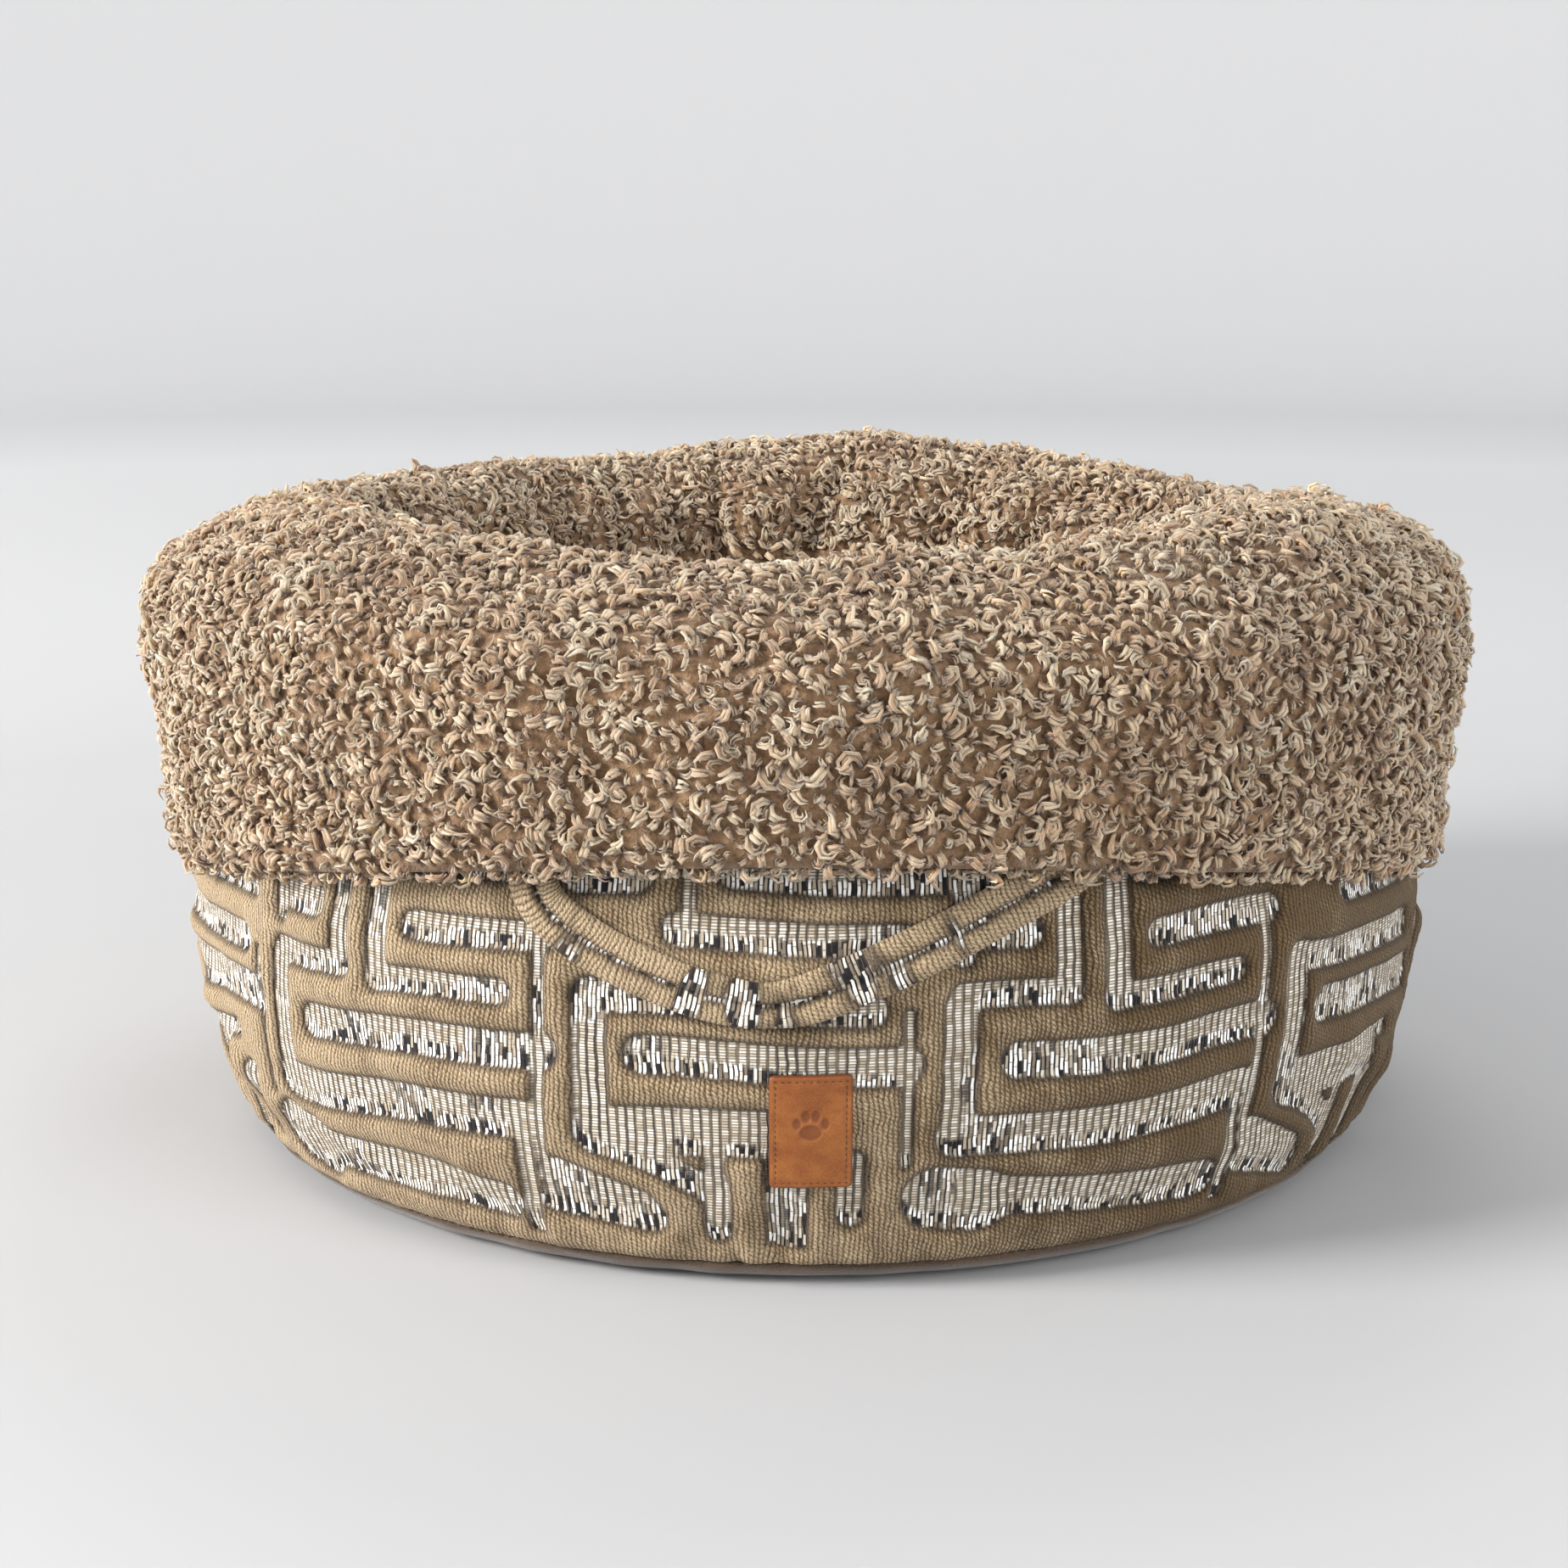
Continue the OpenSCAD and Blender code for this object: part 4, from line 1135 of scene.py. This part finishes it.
def makeSideSeams():
    places, runs, outs = [], [], []
    for sign in (-1, 1):
        heights = np.arange(wallLow + 3, foldHeight - 4, seamLook["stitchPitch"])
        slack = wallSlack(np.full_like(heights, sign * clothRadius * math.pi / 2), heights)
        radius = wallAt(heights) - clothLay["inset"] + slack
        places += [(sign * r, 0, z) for r, z in zip(radius, heights)]
        slope = np.gradient(radius, heights)
        runs += [(sign * m, 0, 1) for m in slope]
        outs += [(sign, 0, -m) for m in slope]
    seams = sewOn("side_seam_stitches", np.array(places), runs, outs, seamStitch, threadStuff)
    place(seams, "nest", "thread", "side_seam_threads")


def resampled(path, count):
    length = np.concatenate([[0], np.cumsum(np.linalg.norm(np.diff(path, axis=0), axis=1))])
    at = np.linspace(0, length[-1], count)
    return np.stack([np.interp(at, length, path[:, k]) for k in range(path.shape[1])], axis=1)


stuffingLook = {"columns": 160, "rows": 30, "underHide": 2.6, "underCrest": 1.6, "underCloth": 6.5}


def stuffingDepth(fromHem):
    return skinDepth(fromHem) + stuffingLook["underHide"] + stuffingLook["underCrest"] * fromHem


def makeStuffing():
    # the cuff's roll, the wall and the flat pad under the floor
    count, rows = stuffingLook["columns"], stuffingLook["rows"]
    phi = roundAngles(count)
    skin, hem = peltColumns(phi, stuffingDepth)
    crest = peltLook["outerRows"] + peltLook["crestRows"] // 2
    outer, inner = np.empty((rows, count, 3)), np.empty((rows, count, 3))
    for j in range(count):
        outer[:, j] = resampled(skin[2:crest + 1, j], rows)
        low = hem[j] + 5.5
        facing = [(float(min(wallAt(h) + bed["pocketGap"], wallRadius + 0.8)) + 1.2, h)
                  for h in np.linspace(low, foldHeight, 14)]
        facing.append((float(wallAt(foldHeight)) + 2.5, foldHeight + 6))
        along = resampled(np.array(facing), rows)
        inner[:, j] = around(phi[j], along[:, 0], along[:, 1])
    cuff = shellPiece("cuff_stuffing", outer, inner, waddingStuff, True)
    place(cuff, "nest", "wadding", "cuff_wadding")

    heights = np.linspace(13, foldHeight - 3, rows)
    for j in range(count):
        outer[:, j] = around(phi[j], wallAt(heights) - stuffingLook["underCloth"], heights)
        inner[:, j] = resampled(skin[crest + 2:-3, j][::-1], rows)
    wall = shellPiece("wall_stuffing", outer, inner, waddingStuff, True)
    place(wall, "nest", "wadding", "wall_wadding")

    low, high = boxOf("base_wadding")
    outline = [(0, low[2] + 1), (high[0] - 9, low[2] + 0.6), (high[0] - 3, low[2] + 5),
               (high[0] - 3, high[2] - 6), (high[0] - 9, high[2] - 2.2), (0, high[2] - 1.6)]
    pad = turned("base_wadding_pad", outline, waddingStuff, 120)
    place(pad, "nest", "wadding", "base_wadding")


hemTapeLook = {"columns": 420, "offWall": 0.9, "underFur": 3.4, "low": (1.6, 1.2), "high": (4.8, 4.4)}


def makeHemTape():
    # a woven tape closes the cuff between its cloth facing and the edge of the fur
    count = hemTapeLook["columns"]
    phi = roundAngles(count)
    hem = hemAt((bedRadius - 6) * np.sin(phi))
    edge = np.interp(hem, furFace[:3 * spanSteps, 1], furFace[:3 * spanSteps, 0]) - hemTapeLook["underFur"]
    near = wallRadius + hemTapeLook["offWall"] + 0 * phi
    (nearLow, edgeLow), (nearHigh, edgeHigh) = hemTapeLook["low"], hemTapeLook["high"]
    ring = [(near, hem + nearLow), (edge, hem + edgeLow), (edge, hem + edgeHigh), (near, hem + nearHigh)]
    points = np.array([around(phi, r, z) for r, z in ring])
    faces = gridFaces(4, count, True)
    faces += [[3 * count + j, 3 * count + (j + 1) % count, (j + 1) % count, j] for j in range(count)]
    tape = newPiece("hem_tape", points, faces, hemCloth)
    tidyNormals(tape)
    place(tape, "nest", "hem_cloth", "cuff_hem_tape")


poleHole = 1.5  # radius of the small hole that closePole fills


def discGrid(radius, height, rings, count, relief, seed):
    phi = roundAngles(count)
    r = np.linspace(radius, poleHole, rings)[:, None]
    points = around(phi[None, :], r, height + 0 * r)
    points[..., 2] += relief * softNoise(points, 45, seed)
    return points


floorLook = {"overlap": 4.0, "depth": 4.6, "hide": 1.8, "rings": 26, "columns": 120, "relief": 1.0}


def makeFloor():
    top = discGrid(floorRadius + floorLook["overlap"], floorHeight - floorLook["depth"], floorLook["rings"],
                   floorLook["columns"], floorLook["relief"], 3.3)
    under = top - np.array([0, 0, floorLook["hide"]])
    skin = shellPiece("floor_fur_pelt", top, under, furSkin, True)
    closePole(skin)
    place(skin, "nest", "fur", "floor_lining")
    fur = growCurls("floor_curls", top, lockLook["deepSpacing"], lockLook["floorSize"], wrap=True)
    place(fur, "nest", "fur")


def closePole(piece):
    # fills the middle of a two-skinned disc where its hole is no wider than poleHole
    work = bmesh.new()
    work.from_mesh(piece.data)
    gone = [f for f in work.faces if all(v.co.xy.length < (poleHole + 0.1) * mm for v in f.verts)]
    bmesh.ops.delete(work, geom=gone, context="FACES")
    loops = [e for e in work.edges if e.is_boundary]
    bmesh.ops.holes_fill(work, edges=loops, sides=0)
    bmesh.ops.recalc_face_normals(work, faces=work.faces)
    work.to_mesh(piece.data)
    work.free()
    piece.data.shade_smooth()


labelLook = {
    "thickness": 1.6, "cornerRadius": 1.8, "edgeRound": 0.9, "deboss": 0.4, "step": 0.36,
    "stitchInset": 2.1, "stitchPitch": 2.3, "stitchLength": 1.5, "threadRadius": 0.2,
    "groove": 0.16, "grooveWidth": 0.45,   # the line pressed in under the stitches
    "pawSize": 6.2, "pawRise": 2.5,
    "offWall": 0.9, "bow": 0.35,
}


def pawDistance(x, z):
    # a plain paw print: one pad and four toes
    size = labelLook["pawSize"]
    shapes = [(0, -0.34, 0.62, 0.48), (-0.78, 0.22, 0.24, 0.34), (-0.28, 0.68, 0.25, 0.37),
              (0.28, 0.68, 0.25, 0.37), (0.78, 0.22, 0.24, 0.34)]
    return np.min([(np.hypot((x / size - a) / c, (z / size - b) / d) - 1) * min(c, d) * size
                   for a, b, c, d in shapes], axis=0)


def frontSpot(x, z, radius):
    # the point on the front half at x across and z up that is `radius` from the axis
    return np.stack([x, -np.sqrt(np.maximum(radius ** 2 - x ** 2, 1)), z], axis=-1)


def onWall(x, z, out):
    # a point over the front of the soft wall, standing off by `out`
    radius = wallAt(z) + out
    radius = radius + wallSlack(np.arctan2(x, np.sqrt(radius ** 2 - x ** 2)) * clothRadius, z)
    return frontSpot(x, z, radius)


def makeLabel():
    low, high = boxOf("leather_label")
    width, height = high[0] - low[0], high[2] - low[2]
    middle = (high[2] + low[2]) / 2
    cols, rows = int(width / labelLook["step"]), int(height / labelLook["step"])
    x, z = np.meshgrid(np.linspace(-width / 2, width / 2, cols), np.linspace(-height / 2, height / 2, rows))
    corner = labelLook["cornerRadius"]
    cx = np.clip(x, corner - width / 2, width / 2 - corner)
    cz = np.clip(z, corner - height / 2, height / 2 - corner)
    far = np.hypot(x - cx, z - cz)
    pull = np.where(far > 0, np.minimum(far, corner) / np.maximum(far, 1e-9), 1)
    x, z = cx + (x - cx) * pull, cz + (z - cz) * pull
    edge = np.minimum(width / 2 - np.abs(x), height / 2 - np.abs(z))
    edge = np.minimum(edge, np.where(far > 0, corner - np.minimum(far, corner), 99))
    t = np.clip(edge / labelLook["edgeRound"], 0, 1)
    paw = pawDistance(x, z - labelLook["pawRise"])
    top = labelLook["thickness"] * (0.45 + 0.55 * np.sqrt(1 - (1 - t) ** 2))
    top -= labelLook["deboss"] * smoothStep(0.35, -0.35, paw)
    top -= labelLook["groove"] * np.exp(-((edge - labelLook["stitchInset"]) / labelLook["grooveWidth"]) ** 2)
    base = labelLook["offWall"]
    bow = labelLook["bow"] * softNoise(np.stack([x, z, 0 * x], axis=-1), 16, 2.0)
    outer = onWall(x, z + middle, base + top + bow)
    inner = onWall(x, z + middle, base + 0 * top - 0.3)
    label = shellPiece("leather_label_patch", outer, inner, leatherStuff)
    burnish = np.concatenate([smoothStep(1.0, 0.0, edge).ravel() * 0.85, np.ones(edge.size)])
    burnish[:edge.size] += 0.55 * smoothStep(0.5, -0.4, paw).ravel()
    setAttribute(label, "burnish", np.clip(burnish, 0, 1))
    place(label, "nest", "leather", "leather_label")

    places, runs = [], []
    pitch = labelLook["stitchPitch"]
    w, h = width / 2 - labelLook["stitchInset"], height / 2 - labelLook["stitchInset"]
    for sign in (-1, 1):
        for x0 in np.linspace(-w, w, int(2 * w / pitch) + 1):
            places.append((x0, sign * h + middle))
            runs.append((1, 0, 0))
        for z0 in np.linspace(-h, h, int(2 * h / pitch) + 1)[1:-1]:
            places.append((sign * w, z0 + middle))
            runs.append((0, 0, 1))
    px, pz = np.array(places).T
    spots = onWall(px, pz, base + labelLook["thickness"] - 0.12)
    outs = np.stack([px, -np.sqrt(wallRadius ** 2 - px ** 2), 0 * px], axis=1)
    stitch = makeStitch("label_stitch", labelLook["stitchLength"], labelLook["threadRadius"], labelThread)
    stitches = sewOn("label_stitching", spots, runs, outs, stitch, labelThread)
    place(stitches, "nest", "label_thread", "label_stitches")


strapLook = {
    "half": 98.0, "drop": 42.0, "width": 18.0, "thickness": 4.6, "gap": 1.2,
    "step": 1.25, "across": 21, "hang": 2.6, "bendLength": 9.0,
    "groove": 1.9,         # depth of the line along the middle
    "crease": 0.55, "ripple": 0.5,
    "fold": 1.5, "foldSwell": 0.9,   # the sharp fold near the lowest point and the cloth pushed up beside it
    "kinkAt": -15.7, "kinkWidth": 9.0, "kinkNarrowing": 0.10,
    "twist": 1.3,
    "napAndSideLight": 0.86,
    "coreStep": 3.0, "coreAcross": 9, "coreThickness": 0.5, "coreInset": 1.9,
}
bendHeight = float(hemAt(strapLook["half"])) - 1
strapKnots = [(-100, 23), (-98, 8), (-91, -14.7), (-55.9, -33.6), (-15.7, -42), (16.7, -33.6), (60.8, -13.9),
              (98, 5), (100, 23)]


def strapPath(step):
    fine = curveThrough(strapKnots, 40)
    length = np.linalg.norm(np.diff(fine, axis=0), axis=1).sum()
    path = resampled(fine, int(length / step))
    return path + np.array([0, bendHeight]), length


def makeStrap(side, inset=0.0):
    # the padded cover; with an inset, the flat webbing inside it
    isCover = inset == 0
    relief = 1.0 if isCover else 0.0
    path, length = strapPath(strapLook["step"] if isCover else strapLook["coreStep"])
    sideways = leftOf(path)
    along = np.linspace(0, length, len(path))[:, None]
    t = np.linspace(-1, 1, strapLook["across"] if isCover else strapLook["coreAcross"])[None, :]
    half = strapLook["width"] / 2 - inset
    kink = np.exp(-((path[:, 0] - strapLook["kinkAt"]) / strapLook["kinkWidth"]) ** 2)
    narrow = (1 - strapLook["kinkNarrowing"] * kink)[:, None]
    c = np.sign(t) * np.abs(t) ** 0.85 * half * narrow
    x = path[:, :1] + sideways[:, :1] * c
    z = path[:, 1:] + sideways[:, 1:] * c
    seed = 4.0 if side == "front" else 21.0

    def strapNoise(acrossScale, size, shift, layer=seed):
        spot = np.stack([along + 0 * t, acrossScale * t + 0 * along, 0 * t + 0 * along + layer], axis=-1)
        return softNoise(spot, size, shift)

    dip = smoothStep(0, -strapLook["drop"], path[:, 1] - bendHeight)[:, None]
    body = strapLook["thickness"] if isCover else strapLook["coreThickness"]
    pad = np.sqrt(np.clip(1 - ((np.abs(t) - 0.5) / 0.53) ** 2, 0, 1))
    top = body * (0.40 + 0.60 * pad if isCover else 0.6)
    top = top + strapLook["crease"] * relief * strapNoise(6, 11, 3.0)
    top = top - strapLook["groove"] * relief * np.exp(-(t / 0.10) ** 2)
    top = top + strapLook["ripple"] * relief * strapNoise(9, 3.4, 0.0)
    fold = np.exp(-((path[:, 0] + 12.0 + 0.2 * (path[:, 1] - bendHeight)) / 2.2) ** 2)[:, None]
    swell = np.exp(-((path[:, :1] + 19) / 5) ** 2)
    top = top - strapLook["fold"] * relief * fold + strapLook["foldSwell"] * relief * swell
    if isCover:
        top[:, [0, -1]] = body * 0.32
    bottom = np.where(np.abs(t) > 0.97, body * 0.28, 0.0) + 0 * top
    roll = strapLook["twist"] * np.sin(along / 26 + seed) * (c / half) * dip
    out = strapLook["gap"] + (0 if isCover else 0.15) + strapLook["hang"] * dip + roll
    steady = np.mean(np.maximum(wallSlack(x, z), -0.5), axis=1, keepdims=True)

    def lay(height):
        # rows run along the strap, columns across it
        points = frontSpot(x, z, wallAt(z) + out + steady + height)
        return points * (np.array([-1, -1, 1]) if side == "back" else 1)

    name = side + ("_handle_strap" if isCover else "_handle_webbing")
    strap = shellPiece(name, lay(top), lay(bottom), patternedCloth if isCover else webbingStuff)
    tidyNormals(strap, 0.0000001)
    if isCover:
        uv = np.stack([along + 0 * t, half * t + 0 * along + 400], axis=-1) * mm
        setUv(strap, np.concatenate([uv.reshape(-1, 2)] * 2))
        # the ground weave shows in patches, most of all near the middle, and at the edges
        bands = strapNoise(2.5, 9, 6.1)
        middle = np.exp(-((path[:, :1] - 2) / 34) ** 2)
        groundIn = 2.0 - 12 * np.clip(bands - 0.30 + 0.26 * middle, 0, 1)
        ragged = 0.9 * strapNoise(3, 3.1, 0.0, 2)
        pile = np.minimum(groundIn, np.abs(c) - 0.75 + ragged)
        setAttribute(strap, "napAndSideLight", np.full(2 * pile.size, strapLook["napAndSideLight"]))
        setAttribute(strap, "pile", np.concatenate([pile.ravel(), np.full(pile.size, 3.0)]))
        setAttribute(strap, "slub", np.ones(2 * pile.size))
    return strap


webbingStuff = plainWeave("webbing", colour(206, 198, 184), colour(232, 226, 214), 1.2)


def makeHandle(side):
    strap = makeStrap(side)
    core = makeStrap(side, strapLook["coreInset"])
    for piece in (strap, core):
        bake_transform(piece)
    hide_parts(side + "_handle_cover", side + "_handle_ends")
    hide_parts(side + "_handle_core")
    # bar tacks hold each end to the wall, high up behind the cuff
    places, runs, outs = [], [], []
    turnBack = np.array([-1, -1, 1]) if side == "back" else np.array([1, 1, 1])
    for sign in (-1, 1):
        for up in (12, 18):
            for k in range(14):
                x = sign * (strapLook["half"] + up / 12) - 6.5 + k
                z = bendHeight + up + (0.7 if k % 2 else -0.7)
                spot = onWall(np.array(x), np.array(z), strapLook["gap"] + strapLook["thickness"] + 0.3)
                places.append(spot * turnBack)
                runs.append(np.array([0.55, 0, 1 if k % 2 else -1]) * turnBack)
                outs.append(np.array([x, spot[1], 0]) * turnBack)
    tacks = sewOn(side + "_bar_tacks", np.array(places), runs, outs, tackStitch, threadStuff)
    place(tacks, "nest", "thread", side + "_handle_bartacks")


tackStitch = makeStitch("tack_stitch", 2.2, 0.35, threadStuff)


cushionLook = {
    "hollow": 7.0, "hollowAcross": 78.0, "lump": 3.2, "pucker": 1.6, "skinDepth": 4.4, "crownPower": 0.75,
    "hide": 1.8, "columns": 240,
    "corner": 16.0,        # roundness of the casing's lower edge
    "casingOutside": 0.25, "casingInside": 1.3,   # how far in the casing's two skins lie
    "aboveSeam": 0.7,
}
cushionTop = boxOf("cushion_top_cover")[1][2]
cushionRadius = boxOf("cushion_bottom_cover")[1][0]
cushionFloor = boxOf("cushion_bottom_cover")[0][2]
cushionSeam = (boxOf("cushion_seam_thread")[0][2] + boxOf("cushion_seam_thread")[1][2]) / 2
cushionBand = cushionFloor + cushionLook["corner"]


def cushionSkin(inset):
    phi = roundAngles(cushionLook["columns"])
    a = np.linspace(0.02, math.pi / 2 - 0.012, 40)[:, None]
    crown = cushionTop - cushionSeam - cushionLook["aboveSeam"] - inset
    radius = (cushionRadius - inset) * np.cos(a) + 0 * phi
    height = cushionSeam + cushionLook["aboveSeam"] + crown * np.sin(a) ** cushionLook["crownPower"] + 0 * phi
    points = around(phi[None, :], radius, height)
    lump = cushionLook["lump"] * (softNoise(points, 58, 12.0) - 0.25) * np.sin(a) ** 0.6
    hollow = cushionLook["hollow"] * np.exp(-(radius / cushionLook["hollowAcross"]) ** 2)
    pucker = softNoise(circle(phi), 0.085, 6.0) - 0.3
    points[..., 2] += lump - hollow
    pull = cushionLook["pucker"] * pucker * np.exp(-(a / 0.30) ** 2) / cushionRadius
    points[..., :2] *= (1 + pull)[..., None]
    return points


def cushionCasing(inset):
    # the plain lower half: flat floor, round corner and upright band up to the seam
    corner = cushionLook["corner"]
    path = [(r, cushionFloor + inset) for r in np.linspace(3, cushionRadius - corner - 4, 16)]
    path += [(cushionRadius - corner + (corner - inset) * math.sin(a),
              cushionBand - (corner - inset) * math.cos(a)) for a in np.radians(range(9, 90, 9))]
    path += [(cushionRadius - inset, h) for h in np.linspace(cushionBand, cushionSeam - 0.6, 9)]
    path = np.array(path)
    phi = roundAngles(cushionLook["columns"])
    grid = around(phi[None, :], path[:, :1], path[:, 1:])
    dent = np.minimum(softNoise(circle(phi), 0.07, 2.0) - 0.2, 0)
    nearSeam = smoothStep(cushionSeam - 4, cushionSeam - 1, path[:, 1:])
    grid[..., :2] *= (1 + cushionLook["pucker"] * dent * nearSeam / cushionRadius)[..., None]
    return grid


def makeCushion():
    depth = cushionLook["skinDepth"]
    top, under = cushionSkin(depth), cushionSkin(depth + cushionLook["hide"])
    cover = shellPiece("cushion_fur_pelt", top, under, furSkin, True)
    closePole(cover)
    place(cover, "cushion", "fur", "cushion_top_cover")
    count = cushionLook["columns"]
    half = count // 2
    for k, cols in enumerate((list(range(half + 1)), list(range(half, count)) + [0])):
        fur = growCurls(f"cushion_curls_{k + 1}", top[:, cols], lockLook["cushionSpacing"],
                        lockLook["cushionSize"])
        place(fur, "cushion", "fur")
    casing = shellPiece("cushion_casing", cushionCasing(cushionLook["casingOutside"]),
                        cushionCasing(cushionLook["casingInside"]), casingCloth, True)
    closePole(casing)
    place(casing, "cushion", "brown_cloth", "cushion_bottom_cover")
    seam = ringOfStitches("cushion_seam_stitches", cushionRadius - 0.5, cushionSeam, seamLook["stitchPitch"],
                          seamStitch, threadStuff)
    place(seam, "cushion", "thread", "cushion_seam_thread")
    outline = [(0, cushionFloor + 2.5), (cushionRadius - 22, cushionFloor + 2.8),
               (cushionRadius - 7, cushionBand), (cushionRadius - 8, cushionSeam - 1),
               (cushionRadius - 16, cushionSeam + 9), (cushionRadius - 50, cushionTop - 20),
               (0, cushionTop - 21)]
    fill = turned("cushion_stuffing", outline, waddingStuff, 96)
    place(fill, "cushion", "wadding", "cushion_fill")


def finishZip():
    for node, stuff in (("zip_tape", zipTapeStuff), ("zip_teeth", zipTeethMetal), ("zip_stops", zipMetal),
                        ("zip_slider", zipMetal), ("zip_pull", zipMetal)):
        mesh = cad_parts[node].data
        mesh.materials.clear()
        mesh.materials.append(stuff)


casingCloth = plainWeave("cushion_casing", colour(104, 88, 70), colour(146, 126, 104))
makeBase()
makeSideSeams()
makeStuffing()
makeHemTape()
makeFloor()
print("base, stuffing and floor made")
makeLabel()
print("label made")
for side in ("front", "back"):
    makeHandle(side)
print("handles made")
makeCushion()
finishZip()
print("cushion made")


studio = {
    "floor": (0.47, 0.47, 0.475, 1), "bend": (0.77, 0.77, 0.775, 1), "backdrop": (0.69, 0.69, 0.695, 1),
    "floorRadius": 3.3, "sweep": 1.3, "wall": 2.4,
    "sky": 0.62, "skyTint": (0.97, 0.985, 1.0, 1),
    "lights": (            # name, power, size, place, tint
        ("key_light", 200.0, 1.3, (-3.1, -1.15, 1.6), (1.0, 0.985, 0.965)),
        ("fill_light", 70.0, 2.2, (2.3, -2.2, 1.4), (0.96, 0.98, 1.0)),
        ("side_light", 7.0, 0.7, (-1.6, -0.6, 0.4), (1.0, 0.97, 0.97)),
        ("top_light", 9.0, 0.8, (0.2, 0.9, 1.5), (1.0, 1.0, 1.0)),
    ),
    "aim": (0, 0, 0.12),   # what the lights point at
    "camera": (-0.0093, -1.150, 0.3945), "pitch": 12.93, "lens": 62.6,
}


def makeStage():
    # a round floor that sweeps up into a backdrop on every side
    finish, tree, shader = newFinish("studio_floor", 0.9, Specular_IOR_Level=0.1)
    spot = addNode(tree, "ShaderNodeTexCoord").outputs["Object"]
    flat = addNode(tree, "ShaderNodeVectorMath", {0: spot, 1: (1, 1, 0)}, operation="MULTIPLY").outputs[0]
    far = addNode(tree, "ShaderNodeVectorMath", {0: flat}, operation="LENGTH").outputs["Value"]
    shade = stops(tree, maths(tree, "DIVIDE", far, 5.0),
                  [(0.16, studio["floor"]), (0.52, studio["bend"]), (0.9, studio["backdrop"])])
    paint(tree, shade, shader)
    radius, sweep = studio["floorRadius"], studio["sweep"]
    outline = [(0.02, 0), (radius, 0)]
    outline += [(radius + sweep * math.sin(a), sweep - sweep * math.cos(a))
                for a in np.radians(range(6, 91, 6))]
    outline += [(radius + sweep, studio["wall"])]
    steps = 96
    path = np.array(outline) / mm
    points = around(roundAngles(steps)[None, :], path[:, :1], path[:, 1:])
    faces = [f[::-1] for f in gridFaces(len(path), steps, True)] + [list(range(steps))]
    newPiece("studio_backdrop", points, faces, finish)


def makeLight(name, power, size, start, tint):
    data = bpy.data.lights.new(name, "AREA")
    data.shape = "DISK"
    data.energy = power
    data.size = size
    data.color = tint
    lamp = bpy.data.objects.new(name, data)
    lamp.location = start
    lamp.rotation_euler = (Vector(studio["aim"]) - Vector(start)).to_track_quat("-Z", "Y").to_euler()
    bpy.context.scene.collection.objects.link(lamp)


def makeCamera():
    data = bpy.data.cameras.new("camera")
    data.lens = studio["lens"]
    data.sensor_width = 36
    data.clip_end = 50
    camera = bpy.data.objects.new("camera", data)
    camera.location = studio["camera"]
    camera.rotation_euler = (math.radians(90 - studio["pitch"]), 0, 0)
    bpy.context.scene.collection.objects.link(camera)
    bpy.context.scene.camera = camera


makeStage()
for lamp in studio["lights"]:
    makeLight(*lamp)
world = bpy.data.worlds.new("studio")
world.use_nodes = True
world.node_tree.nodes["Background"].inputs["Color"].default_value = studio["skyTint"]
world.node_tree.nodes["Background"].inputs["Strength"].default_value = studio["sky"]
bpy.context.scene.world = world
bpy.context.scene.view_settings.view_transform = "Standard"
makeCamera()
print("stage set")
